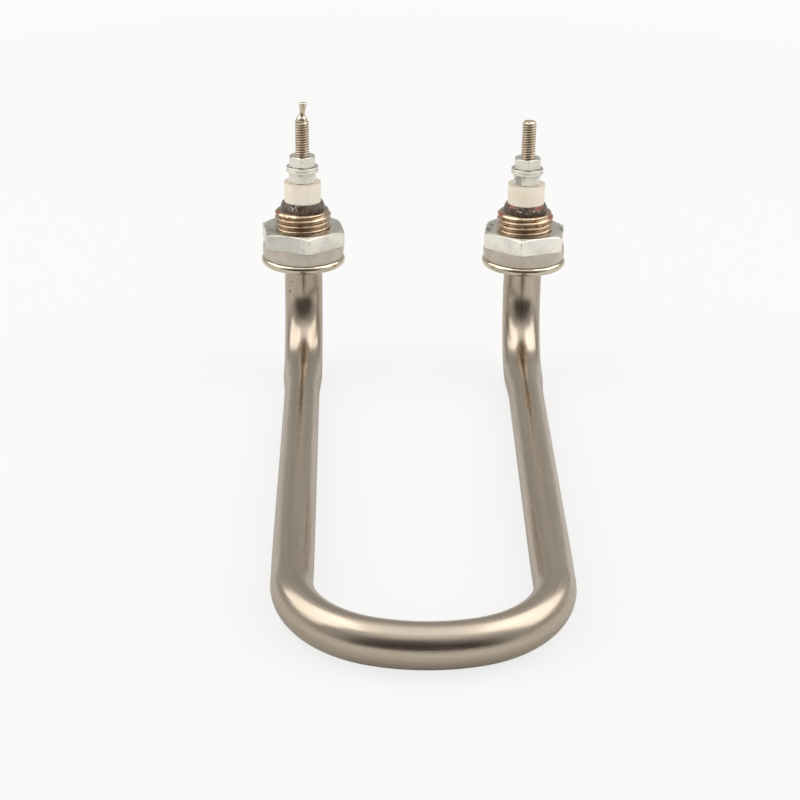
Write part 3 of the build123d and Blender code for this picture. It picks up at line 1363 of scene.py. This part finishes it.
# ---------------------------------------------------------------------------- a terminal


@dataclass(frozen=True)
class NutTurns:
    """How far each nut of one end is turned, in degrees, from a corner to the front."""

    lock_nut: float
    lower_nut: float
    upper_nut: float


@dataclass(frozen=True)
class TailStep:
    """One step of the drawn-out tail: rise above the thread, diameter and sideways shift."""

    rise: float
    diameter: float
    shift: float


@dataclass(frozen=True)
class BeadForm:
    """The burnt bead: a ring that bulges over its foot and leans in to the ceramic, pushed into lumps."""

    foot_d: float = 12.2 * MM
    slack: float = 0.3 * MM             # from the bulge to the side of its packed room
    top_width: float = 0.15 * MM
    top_drop: float = 0.1 * MM          # drop of its top to the hole
    bulge_rate: float = 1.06            # the bulge takes up the height divided by this
    bulge_power: float = 0.6            # the lower, the fuller
    bulge_loss: float = 0.25            # share of it lost towards the top
    lump: float = 0.26 * MM             # how far a full lump pushes out
    lump_rise: float = 0.4              # and the share of that by which it rises
    lump_from: float = 0.1 * MM         # nearer than this to the ceramic it stays round
    lumps: tuple[Span, ...] = ((620.0, 0.7), (1500.0, 0.45))    # scale and share of each noise
    steps: int = 14
    segments: int = 160
    crease: float = 75.0

    def outside(self, room: Room, inner: float) -> Profile:
        """The bead's outside, from its foot to its top.

        Args:
            room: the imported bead's room.
            inner: radius of the hole at the top.

        Returns:
            Radius and height of each corner.
        """
        foot = self.foot_d / 2
        profile = []
        for step in range(self.steps + 1):
            share = step / self.steps
            bulge = sin(pi * min(1.0, share * self.bulge_rate)) ** self.bulge_power
            bulge *= (room.radius - self.slack - foot) * (1 - self.bulge_loss * share)
            lean = (inner + self.top_width - foot) * share**3
            profile.append((foot + lean + bulge, room.low + room.height * share))
        return profile

    def push_lumps(self, blank: Blank, room: Room, inner: float) -> None:
        """Pushes the outside in and out.

        Args:
            blank: the turned bead.
            room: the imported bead's room, whose floor the lumps stay over.
            inner: radius of the hole at the top.
        """
        for vert in blank.bm.verts:
            out = Vector((vert.co.x - room.x, vert.co.y, 0))
            if out.length < inner + self.lump_from:
                continue
            lump = self.lump * sum(noise.noise(vert.co * scale) * share for scale, share in self.lumps)
            vert.co += out.normalized() * lump
            vert.co.z = max(room.low, vert.co.z + lump * self.lump_rise)


@dataclass(frozen=True)
class Terminal:
    """One upright end: bush, seal, lock nut, bead, ceramic, clamped washers, nuts and pin.

    Creases and sharpness are in degrees. The ceramic's rings are shares of its height, the pinched slope
    is how steeply the thread narrows where the tail starts.
    """

    side: Side
    turns: NutTurns
    pin_end: PinEnd
    brass: NickelledBrass
    compound: BurntCompound
    lock_nut_zinc: ZincPlate
    zinc: ZincPlate
    steel: StrawSteel
    silicone: SiliconeRubber = SiliconeRubber()
    steatite: Steatite = Steatite()

    bush_thread: ClassVar[ThreadForm] = ThreadForm(
        major_d=16.0 * MM, root_d=14.2 * MM, pitch=1.5 * MM, chamfer=0.7 * MM, run_in=0.1 * MM,
        run_in_slope=1.6, neck_gap=0.05 * MM, segments=96)
    stud_thread: ClassVar[ThreadForm] = ThreadForm(
        major_d=4.0 * MM, root_d=3.15 * MM, pitch=0.7 * MM, chamfer=0.45 * MM, run_in=0.05 * MM,
        run_in_slope=1.5, neck_gap=0.02 * MM, segments=48)
    lock_nut_form: ClassVar[NutForm] = NutForm(
        flats=22.0 * MM, bore=14.3 * MM, face_d=21.6 * MM, under_d=24.4 * MM, chamfer=22.0,
        countersink=0.9 * MM, edge=0.12 * MM)
    small_nut_form: ClassVar[NutForm] = NutForm(
        flats=7.0 * MM, bore=3.3 * MM, face_d=6.7 * MM, under_d=6.7 * MM, chamfer=28.0,
        countersink=0.35 * MM, edge=0.07 * MM)
    bead_form: ClassVar[BeadForm] = BeadForm()

    bush_bore: float = 10.7 * MM
    bush_crease: float = 50.0
    flange_thickness: float = 2.4 * MM
    flange_lip: float = 1.19 * MM
    flange_lip_steps: int = 6
    seal_bore: float = 16.2 * MM
    seal_bulge: float = 0.25 * MM
    seal_edge: float = 0.22 * MM
    seal_steps: int = 6
    seal_segments: int = 128
    ceramic_d: float = 10.4 * MM
    ceramic_height: float = 6.6 * MM
    ceramic_rings: Span = (0.35, 0.7)
    ceramic_edge: float = 0.55 * MM
    ceramic_edge_steps: int = 5
    ceramic_sharper: float = 60.0
    ceramic_segments: int = 96
    spigot_d: float = 8.9 * MM
    ceramic_bore: float = 3.6 * MM
    fit_gap: float = 0.05 * MM
    washer_bore: float = 4.3 * MM
    washer_edge: float = 0.16 * MM
    washer_segments: int = 80
    edge_steps: int = 3
    pin_chamfer: float = 0.2 * MM
    pin_crease: float = 60.0
    pinched_slope: float = 3.0
    tail: tuple[TailStep, ...] = (
        TailStep(0.45 * MM, 3.30 * MM, 0.00 * MM),
        TailStep(0.95 * MM, 2.50 * MM, 0.02 * MM),
        TailStep(1.40 * MM, 1.85 * MM, 0.05 * MM),
        TailStep(1.90 * MM, 1.50 * MM, 0.10 * MM),
        TailStep(2.50 * MM, 1.48 * MM, 0.16 * MM),
        TailStep(3.20 * MM, 1.62 * MM, 0.24 * MM),
        TailStep(3.90 * MM, 1.82 * MM, 0.32 * MM),
        TailStep(4.40 * MM, 2.02 * MM, 0.38 * MM),
        TailStep(4.65 * MM, 2.15 * MM, 0.40 * MM),
        TailStep(4.95 * MM, 1.85 * MM, 0.42 * MM),
        TailStep(5.10 * MM, 1.30 * MM, 0.42 * MM),
    )

    def node(self, name: str) -> str:
        """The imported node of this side."""
        return f"{self.side.value}_{name}"

    def room(self, name: str) -> Room:
        """The room of this side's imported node."""
        return Room.of(self.node(name))

    def build(self) -> list[bpy.types.Object]:
        """Builds the pieces from the flange up.

        Returns:
            The pieces.
        """
        return [
            self.bush(),
            self.seal(),
            self.lock_nut(),
            self.bead(),
            self.ceramic(),
            self.small_nut("lower_nut", self.turns.lower_nut),
            self.washer("lower_washer"),
            self.washer("upper_washer"),
            self.small_nut("upper_nut", self.turns.upper_nut),
            self.pin(),
        ]

    def bush(self) -> bpy.types.Object:
        """Turns the flanged bush: the thread, a neck under the lock nut, the flange's lip and the bore.

        Returns:
            The bush.
        """
        room, form, lip = self.room("threaded_bush"), self.bush_thread, self.flange_lip
        sealing_face = room.low + self.flange_thickness
        thread_low = self.room("lock_nut").high - self.lock_nut_form.countersink
        profile = [(form.root, thread_low - form.neck_gap), (form.root, sealing_face)]
        for middle, start in ((sealing_face - lip, pi / 2), (room.low + lip, 0.0)):
            for step in range(self.flange_lip_steps + 1):
                angle = start - pi / 2 * step / self.flange_lip_steps
                profile.append((room.radius - lip + lip * cos(angle), middle + lip * sin(angle)))
        profile += [(self.bush_bore / 2, room.low), (self.bush_bore / 2, room.high)]
        blank = Blank(room.x)
        rims = blank.thread(form, thread_low, room.high)
        blank.spin(profile, form.segments, closed=False)
        neck, top = blank.open_rims(rims)
        blank.bridge(neck, rims[0])
        blank.bridge(top, rims[-1])
        return blank.deliver(self.node("flanged_bush"), self.node("threaded_bush"), "bush_plating",
                             self.brass, self.bush_crease)

    def seal(self) -> bpy.types.Object:
        """Turns the thick silicone ring, squeezed so that its side stands out.

        Returns:
            The seal.
        """
        room = self.room("sealing_washer")
        outer = room.radius - self.seal_bulge
        shares = [step / self.seal_steps for step in range(self.seal_steps + 1)]
        side = [(outer + self.seal_bulge * sin(pi * share), room.low + room.height * share)
                for share in shares]
        blank = Blank(room.x)
        blank.spin([*side, (self.seal_bore / 2, room.high), (self.seal_bore / 2, room.low)],
                   self.seal_segments)
        blank.round_edges(self.seal_edge, self.edge_steps)
        return blank.deliver(self.node("silicone_seal"), self.node("sealing_washer"), "silicone",
                             self.silicone)

    @staticmethod
    def hexagon_nut(room: Room, form: NutForm, turn: float) -> Blank:
        """Turns a chamfered, countersunk blank, mills its flats and rounds its edges but for the hole's.

        Args:
            room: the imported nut's room.
            form: the nut's form.
            turn: turn of the hexagon, in degrees.

        Returns:
            The blank, ready to be dressed.
        """
        blank = Blank(room.x)
        blank.spin(form.profile(room), form.segments)
        blank.settle()
        blank.mill_hexagon(form.flats, radians(turn))
        hole = form.bore / 2 + form.countersink * form.rim_margin
        blank.round_edges(form.edge, sharper=form.sharper, where=lambda edge: blank.away(edge) > hole)
        return blank

    def lock_nut(self) -> bpy.types.Object:
        """Makes the thin 22 mm nut on the bush.

        Returns:
            The nut.
        """
        blank = self.hexagon_nut(self.room("lock_nut"), self.lock_nut_form, self.turns.lock_nut)
        return blank.deliver(self.node("hexagon_lock_nut"), self.node("lock_nut"), "zinc_plate",
                             self.lock_nut_zinc)

    def small_nut(self, name: str, turn: float) -> bpy.types.Object:
        """Makes one of the two M4 nuts."""
        blank = self.hexagon_nut(self.room(name), self.small_nut_form, turn)
        return blank.deliver(self.node(f"m4_{name}"), self.node(name), "zinc_plate", self.zinc)

    def washer(self, name: str) -> bpy.types.Object:
        """Turns one flat washer with rounded rims.

        Args:
            name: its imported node, without the side.

        Returns:
            The washer.
        """
        room, bore = self.room(name), self.washer_bore / 2
        profile = ((bore, room.low), (room.radius, room.low), (room.radius, room.high), (bore, room.high))
        blank = Blank(room.x)
        blank.spin(profile, self.washer_segments)
        blank.round_edges(self.washer_edge, self.edge_steps)
        return blank.deliver(self.node(f"flat_{name}"), self.node(name), "zinc_plate", self.zinc)

    def ceramic(self) -> bpy.types.Object:
        """Turns the steatite insulator: a head with a rounded rim, and a spigot that plugs into the sheath.

        Returns:
            The insulator.
        """
        room = self.room("ceramic_bush")
        shoulder = room.high - self.ceramic_height
        bore, spigot, head = self.ceramic_bore / 2, self.spigot_d / 2, self.ceramic_d / 2
        profile = [(bore, room.low), (spigot, room.low), (spigot, shoulder), (head, shoulder)]
        profile += [(head, shoulder + share * self.ceramic_height) for share in self.ceramic_rings]
        profile += [(head, room.high), (bore, room.high)]
        blank = Blank(room.x)
        blank.spin(profile, self.ceramic_segments)

        def on_rim(edge: bmesh.types.BMEdge) -> bool:
            """Whether an edge is part of the head's upper rim."""
            return blank.away(edge) > head - WELD and edge.verts[0].co.z > room.high - WELD

        blank.round_edges(self.ceramic_edge, self.ceramic_edge_steps, self.ceramic_sharper, on_rim)
        return blank.deliver(self.node("steatite_insulator"), self.node("ceramic_bush"), "ceramic",
                             self.steatite)

    def bead(self) -> bpy.types.Object:
        """Turns the burnt sealing bead round the ceramic's foot and pushes it into lumps.

        Returns:
            The bead.
        """
        room, form = self.room("sealing_bead"), self.bead_form
        joint = self.room("ceramic_bush").high - self.ceramic_height
        upper, lower = self.ceramic_d / 2 + self.fit_gap, self.bush_bore / 2
        inside = [(upper, room.high - form.top_drop), (upper, joint), (lower, joint), (lower, room.low)]
        blank = Blank(room.x)
        blank.spin([*form.outside(room, upper), *inside], form.segments)
        blank.settle()
        form.push_lumps(blank, room, upper)
        return blank.deliver(self.node("burnt_bead"), self.node("sealing_bead"), "sealing_compound",
                             self.compound, form.crease)

    def pin(self) -> bpy.types.Object:
        """Turns the terminal pin: a plain shank, its M4 thread and its free end.

        Returns:
            The pin.
        """
        room, form = self.room("terminal_pin"), self.stud_thread
        pinched = self.pin_end is PinEnd.PINCHED_OFF
        stud_top = room.high - (self.tail[-1].rise if pinched else 0.0)
        thread_low = self.room("upper_nut").high - self.small_nut_form.countersink
        shank = ((form.root, thread_low - form.neck_gap), (form.root, room.low + self.pin_chamfer),
                 (form.root - self.pin_chamfer, room.low))
        blank = Blank(room.x)
        rims = blank.thread(form, thread_low, stud_top, self.pinched_slope if pinched else 1.0)
        blank.spin(shank, form.segments, closed=False)
        base, neck = blank.open_rims(rims)
        blank.bridge(neck, rims[0])
        blank.close(base)
        blank.close(self.draw_tail(blank, rims[-1], stud_top) if pinched else rims[-1])
        return blank.deliver(self.node("m4_terminal_pin"), self.node("terminal_pin"), "pin_steel",
                             self.steel, self.pin_crease)

    def draw_tail(self, blank: Blank, rim: Rim, stud_top: float) -> Rim:
        """Draws the pin's end out to the neck and head where it was pinched off.

        Args:
            blank: the pin in the making.
            rim: the open rim at the top of its thread.
            stud_top: height of that rim.

        Returns:
            The open rim at the top of the tail.
        """
        last = TailStep(0.0, self.stud_thread.major_d - 2 * self.stud_thread.chamfer, 0.0)
        for now in self.tail:
            centre = Matrix.Translation((blank.x + last.shift, 0, stud_top + last.rise))
            target = Matrix.Translation((blank.x + now.shift, 0, stud_top + now.rise))
            share = now.diameter / last.diameter
            rim = blank.draw_out(rim, target @ Matrix.Diagonal((share, share, 1, 1)) @ centre.inverted())[1]
            last = now
        return rim


# ---------------------------------------------------------------------------- the studio


@dataclass(frozen=True)
class StudioFloor(Finish):
    """Plain pale floor that looks white and keeps a shadow."""

    name: str = "studio_floor"
    paper: Colour = rgb(0.86, 0.85, 0.83)
    beyond: Colour = rgb(0.15, 0.14, 0.13)
    rough: float = 0.9
    sheen: float = 0.1
    paper_end: Span = (-0.6, -0.22)
    shadow_share: float = 0.22
    fade: Span = (0.3, 0.9)

    def paint(self, board: Board, shader: bpy.types.Node) -> None:
        """Pale paper. What lies past its front end shows only in metal.

        Args:
            board: the material's tree.
            shader: its Principled BSDF.
        """
        along = board.axis(self.place(board), 1)
        mirrored = board.add("ShaderNodeLightPath").outputs["Is Glossy Ray"]
        past = board.maths("MULTIPLY", board.ramp(along, self.paper_end, FALLING), mirrored)
        board.feed(shader, {"Base Color": board.blend(past, self.paper, self.beyond),
                            "Roughness": self.rough, "Specular IOR Level": self.sheen})

    def surface(self, board: Board, shader: bpy.types.Node) -> bpy.types.Node:
        """The camera sees white light and a share of the shadow, less of it further away.

        Args:
            board: the material's tree.
            shader: its Principled BSDF.

        Returns:
            The shader that the surface ends with.
        """
        white = board.add("ShaderNodeEmission", {"Color": WHITE, "Strength": 1.0})
        seen = board.add("ShaderNodeLightPath").outputs["Is Camera Ray"]
        light = board.ramp(board.length(self.place(board)), self.fade, (1.0 - self.shadow_share, 1.0))
        share = board.maths("MULTIPLY", seen, light)
        return board.add("ShaderNodeMixShader", {0: share, 1: shader.outputs[0], 2: white.outputs[0]})


@dataclass(frozen=True)
class Studio:
    """Floor, lamps, surroundings and camera.

    Lamp powers are in watts, camera angles in degrees. The tones of the surroundings change between two
    values of a direction of length 1: its height, or how far it points to the front.
    """

    floor_reach: float = 1.6
    lens: float = 71.665
    sensor: float = 36.0
    clip_start: float = 10.0 * MM
    camera_distance: float = 379.83 * MM
    camera_target: Triple = (-4.879 * MM, -90.0 * MM, -34.642 * MM)
    camera_pitch: float = 24.253
    camera_yaw: float = -1.007
    camera_roll: float = -0.808
    lamp_colour: Triple = (1.0, 0.975, 0.94)
    lamp_aim: Triple = (0.0, -0.07, -0.03)
    lamp_size: float = 0.95
    side_power: float = 4.35
    side_place: Triple = (0.68, 0.05, 0.68)
    top_power: float = 1.0
    top_place: Triple = (0.0, -0.02, 0.95)
    back_wall: Colour = rgb(0.47, 0.46, 0.44)
    wall_heights: Span = (-0.15, 0.14)
    ceiling: Colour = rgb(0.92, 0.90, 0.88)
    ceiling_heights: Span = (0.55, 1.0)
    room_dark: Colour = rgb(0.075, 0.065, 0.056)
    dark_front: Span = (0.50, 0.86)
    dark_heights: Span = (0.74, 0.92)
    fill_heights: Span = (0.1, 0.75)
    fill_level: Span = (1.05, 0.15)
    fill_front: Span = (-0.4, 0.6)
    fill_share: Span = (0.85, 1.6)

    def build(self, floor_height: float) -> None:
        """Sets everything up round the object.

        Args:
            floor_height: height that the object stands on.
        """
        self.lay_floor(floor_height)
        self.hang_lamps()
        self.paint_world()
        self.set_camera()
        bpy.context.scene.view_settings.view_transform = "Standard"

    def lay_floor(self, height: float) -> None:
        """Lays the floor.

        Args:
            height: height of its surface.
        """
        blank = Blank()
        bmesh.ops.create_grid(blank.bm, x_segments=1, y_segments=1, size=self.floor_reach,
                              matrix=Matrix.Translation((0, 0, height)))
        floor = blank.place("floor", StudioFloor())

    def lamp(self, name: str, place: Triple, power: float) -> None:
        """Hangs one square softbox that faces the middle of the object.

        Args:
            name: name of the lamp.
            place: where it hangs.
            power: its power in watts.
        """
        data = bpy.data.lights.new(name, "AREA")
        data.shape = "RECTANGLE"
        data.size = data.size_y = self.lamp_size
        data.energy = power
        data.color = self.lamp_colour
        lamp = bpy.data.objects.new(name, data)
        aim = Vector(self.lamp_aim) - Vector(place)
        lamp.matrix_world = Matrix.Translation(place) @ aim.to_track_quat("-Z", "Y").to_matrix().to_4x4()
        bpy.context.scene.collection.objects.link(lamp)

    def hang_lamps(self) -> None:
        """Hangs a softbox on each side and a weaker one overhead."""
        x, y, z = self.side_place
        self.lamp("softbox_left", (-x, y, z), self.side_power)
        self.lamp("softbox_right", (x, y, z), self.side_power)
        self.lamp("softbox_top", self.top_place, self.top_power)

    def paint_world(self) -> None:
        """Paints the surroundings: the camera sees white, metal a pale room with a dark front."""
        world = bpy.data.worlds.new("studio")
        bpy.context.scene.world = world
        world.use_nodes = True
        world.node_tree.nodes.clear()
        board = Board(world.node_tree)
        heading = board.add("ShaderNodeTexCoord").outputs["Generated"]
        front, height = board.maths("MULTIPLY", board.axis(heading, 1), -1.0), board.axis(heading, 2)
        seen = board.blend(board.ramp(height, self.wall_heights), WHITE, self.back_wall)
        seen = board.blend(board.ramp(height, self.ceiling_heights), seen, self.ceiling)
        dark = board.maths("MULTIPLY", board.ramp(front, self.dark_front),
                           board.ramp(height, self.dark_heights, FALLING))
        seen = board.blend(dark, seen, self.room_dark)
        fill = board.maths("MULTIPLY", board.ramp(height, self.fill_heights, self.fill_level),
                           board.ramp(front, self.fill_front, self.fill_share))
        path = board.add("ShaderNodeLightPath")
        mirrored = board.maths("MAXIMUM", path.outputs["Is Glossy Ray"], path.outputs["Is Transmission Ray"])
        colour = board.blend(path.outputs["Is Camera Ray"], board.blend(mirrored, fill, seen), WHITE)
        background = board.add("ShaderNodeBackground", {"Color": colour, "Strength": 1.0})
        board.add("ShaderNodeOutputWorld", {"Surface": background.outputs[0]})

    def set_camera(self) -> None:
        """Stands the camera in front, looking down on the loop."""
        pitch, yaw, roll = radians(self.camera_pitch), radians(self.camera_yaw), radians(self.camera_roll)
        onward = Vector((-sin(yaw) * cos(pitch), cos(yaw) * cos(pitch), -sin(pitch)))
        up = Vector((-sin(yaw) * sin(pitch), cos(yaw) * sin(pitch), cos(pitch)))
        right = Vector((cos(yaw), sin(yaw), 0))
        rolled_right = right * cos(roll) - up * sin(roll)
        rolled_up = right * sin(roll) + up * cos(roll)
        data = bpy.data.cameras.new("camera")
        data.lens = self.lens
        data.sensor_width = self.sensor
        data.clip_start = self.clip_start
        camera = bpy.data.objects.new("camera", data)
        turn = Matrix((rolled_right, rolled_up, -onward)).transposed().to_4x4()
        place = Vector(self.camera_target) - onward * self.camera_distance
        camera.matrix_world = Matrix.Translation(place) @ turn
        bpy.context.scene.collection.objects.link(camera)
        bpy.context.scene.camera = camera


# ---------------------------------------------------------------------------- the whole


def spot(x: float, height: float, offset: Triple, reach: Triple) -> Spot:
    """A mark beside a point of an upright axis.

    Args:
        x: where the axis stands.
        height: height of the point.
        offset: the mark's centre from that point, in millimetres.
        reach: its reach along X, Y and Z, in millimetres.

    Returns:
        The mark.
    """
    aside, back, rise = (size * MM for size in offset)
    return Spot((x + aside, back, height + rise), tuple(size * MM for size in reach))


def corner_reflection_line(nut: Room, form: NutForm, turn: float, reach: float) -> Spot:
    """A dark line painted down the front corner of a nut, as the corner's dark reflection.

    Args:
        nut: the nut's room.
        form: its form.
        turn: turn of its hexagon, in degrees.
        reach: half the height of the line.

    Returns:
        The mark, which starts at the nut's upper edge.
    """
    wide, deep = 0.16 * MM, 0.5 * MM
    place = (nut.x + form.corner * sin(radians(turn)), -form.corner * cos(radians(turn)), nut.high - reach)
    return Spot(place, (wide, deep, reach))


def terminal(side: Side, turns: NutTurns, pin_end: PinEnd, traces: Marks, compound: BurntCompound,
             lock_nut_zinc: ZincPlate, nicks_and_corner_lines: Marks) -> Terminal:
    """One end, with the finishes that its place decides.

    Args:
        side: which end.
        turns: the turns of its nuts.
        pin_end: how its pin ends.
        traces: traces of sealant on the bush.
        compound: the finish of the bead.
        lock_nut_zinc: the finish of the lock nut.
        nicks_and_corner_lines: marks on the small nuts: dark lines painted down their front corners as
            reflections, and any other dark spots.

    Returns:
        The end, ready to be built.
    """
    x, nut_face = Room.of(f"{side.value}_threaded_bush").x, Room.of(f"{side.value}_lock_nut").high
    brass = NickelledBrass(name=f"nickelled_brass_{side.value}", traces=traces, axis_x=x,
                           tarnish_heights=(nut_face - 1 * MM, nut_face))
    return Terminal(side, turns, pin_end, brass, compound, lock_nut_zinc,
                    zinc=ZincPlate(name=f"clouded_zinc_{side.value}", marks=nicks_and_corner_lines),
                    steel=StrawSteel(name=f"straw_steel_{side.value}", axis_x=x))


def left_terminal() -> Terminal:
    """The left end, whose pin keeps its pinched tail.

    Returns:
        The end, ready to be built.
    """
    turns = NutTurns(lock_nut=10.2, lower_nut=-7.5, upper_nut=-2.0)
    bush, nut, bead = Room.of("left_threaded_bush"), Room.of("left_lock_nut"), Room.of("left_sealing_bead")
    traces = (
        spot(bush.x, bush.high, (-7.2, -2.8, -0.6), (1.3, 1.6, 1.0)),
        spot(bush.x, bush.high, (-3.4, -7.04, -0.5), (0.45, 0.5, 0.4)),
        spot(bush.x, bush.low, (4.5, -11.0, 0.9), (0.35, 0.6, 0.25)),
    )
    # Pale glints painted on the front of the bead, where its crystalline specks catch the light.
    painted_glints = (spot(bead.x, bead.low, (-3.0, -5.6, 1.6), (2.2, 1.6, 0.7)),)
    # The first mark is a dark line painted down the front corner as its reflection; the second is a dark spot
    # on the top.
    marks = (
        corner_reflection_line(nut, Terminal.lock_nut_form, turns.lock_nut, 1.4 * MM),
        spot(nut.x, nut.high, (-8.6, -4.5, 0.0), (0.9, 0.7, 0.3)),
    )
    # Painted shade over the lock nut's front-left flat.
    shaded_flat = (spot(nut.x, nut.middle, (-6.8, -8.5, 0.0), (10.0, 10.0, 7.0)),)
    # Dark lines painted down the small nuts' front corners as their reflections.
    nicks_and_corner_lines = (
        corner_reflection_line(Room.of("left_upper_nut"), Terminal.small_nut_form, turns.upper_nut, 0.9 * MM),
        corner_reflection_line(Room.of("left_lower_nut"), Terminal.small_nut_form, turns.lower_nut, 0.5 * MM),
    )
    compound = BurntCompound(name="burnt_compound_left", painted_glints=painted_glints)
    # Painted light and shade: this copy of the zinc is paler than the small nuts', and its upward faces are
    # darkened.
    lock_nut_zinc = ZincPlate(name="clouded_zinc_left_lock_nut", bright=rgb(0.88, 0.85, 0.775),
                              top_shade=0.16, marks=marks, shaded_flat=shaded_flat)
    return terminal(Side.LEFT, turns, PinEnd.PINCHED_OFF, traces, compound, lock_nut_zinc, nicks_and_corner_lines)


def right_terminal() -> Terminal:
    """The right end, whose pin has a plain chamfered end.

    Returns:
        The end, ready to be built.
    """
    turns = NutTurns(lock_nut=-8.7, lower_nut=-15.0, upper_nut=0.0)
    bush, nut, bead = Room.of("right_threaded_bush"), Room.of("right_lock_nut"), Room.of("right_sealing_bead")
    lower = Room.of("right_lower_nut")
    traces = (
        spot(bush.x, bush.high, (7.2, -2.6, -0.6), (0.9, 2.4, 1.0)),
        spot(bush.x, bush.high, (7.6, -2.0, -2.0), (0.6, 1.4, 0.9)),
        spot(bush.x, bush.high, (-7.2, -2.0, -0.4), (0.7, 1.8, 0.6)),
    )
    bead_traces = (
        spot(bead.x, bead.high, (-4.3, -3.6, -0.2), (1.6, 1.2, 0.8)),
        spot(bead.x, bead.high, (3.4, -4.6, -0.2), (2.4, 1.4, 0.7)),
    )
    # Pale glints painted on the front of the bead, where its crystalline specks catch the light.
    painted_glints = (
        spot(bead.x, bead.low, (3.0, -5.8, 1.7), (2.0, 1.6, 0.6)),
        spot(bead.x, bead.low, (-2.0, -6.2, 1.5), (1.6, 1.6, 0.6)),
    )
    # The first mark is a dark line painted down the front corner as its reflection; the others are dark spots
    # on the top.
    marks = (
        corner_reflection_line(nut, Terminal.lock_nut_form, turns.lock_nut, 1.4 * MM),
        spot(nut.x, nut.high, (-10.4, -2.2, 0.0), (1.1, 2.0, 0.8)),
        spot(nut.x, nut.high, (-9.4, 1.8, 0.0), (0.8, 1.8, 0.5)),
        spot(nut.x, nut.high, (10.6, -1.4, 0.0), (0.9, 2.4, 0.8)),
    )
    # Dark lines painted down the small nuts' front corners as their reflections, and a dark spot on the lower
    # nut.
    nicks_and_corner_lines = (
        corner_reflection_line(Room.of("right_upper_nut"), Terminal.small_nut_form, turns.upper_nut, 0.4 * MM),
        corner_reflection_line(lower, Terminal.small_nut_form, turns.lower_nut, 0.9 * MM),
        spot(lower.x, lower.low, (-2.7, -2.6, 1.5), (1.7, 1.8, 1.9)),
    )
    compound = BurntCompound(name="burnt_compound_right", painted_glints=painted_glints, traces=bead_traces)
    # Painted light and shade: this copy is paler than the small nuts' and the left lock nut's, and its upward
    # faces are darkened more.
    lock_nut_zinc = ZincPlate(name="clouded_zinc_right_lock_nut", bright=rgb(0.92, 0.885, 0.81),
                              top_shade=0.2, marks=marks)
    return terminal(Side.RIGHT, turns, PinEnd.CHAMFERED, traces, compound, lock_nut_zinc, nicks_and_corner_lines)


def sheath() -> Sheath:
    """The tube, with the pits on its left stub.

    Returns:
        The tube, ready to be built.
    """
    bush = Room.of("left_threaded_bush")
    depth = 0.6
    pits = tuple(spot(bush.x, bush.low, offset, (wide, depth, tall)) for offset, wide, tall in (
        ((-3.3, -4.15, -4.9), 0.22, 0.6),
        ((-3.6, -3.9, -6.3), 0.16, 0.4),
        ((-3.85, -3.65, -7.8), 0.26, 0.65),
        ((-3.0, -4.35, -8.7), 0.14, 0.35),
    ))
    return Sheath(SatinSteel(pits=pits))


def log_piece(piece: bpy.types.Object) -> None:
    """Reports one finished piece."""
    LOG.info("%-26s %7d faces", piece.name, len(piece.data.polygons))


def main() -> None:
    """Builds the sub-assemblies in order, then the studio."""
    logging.basicConfig(level=logging.INFO, format="%(name)s: %(message)s")
    tube = sheath()
    log_piece(tube.build())
    tube.dress_filling()
    for end in (left_terminal(), right_terminal()):
        for piece in end.build():
            log_piece(piece)
    Studio().build(cad_box[0].z)


if __name__ == "__main__":
    main()
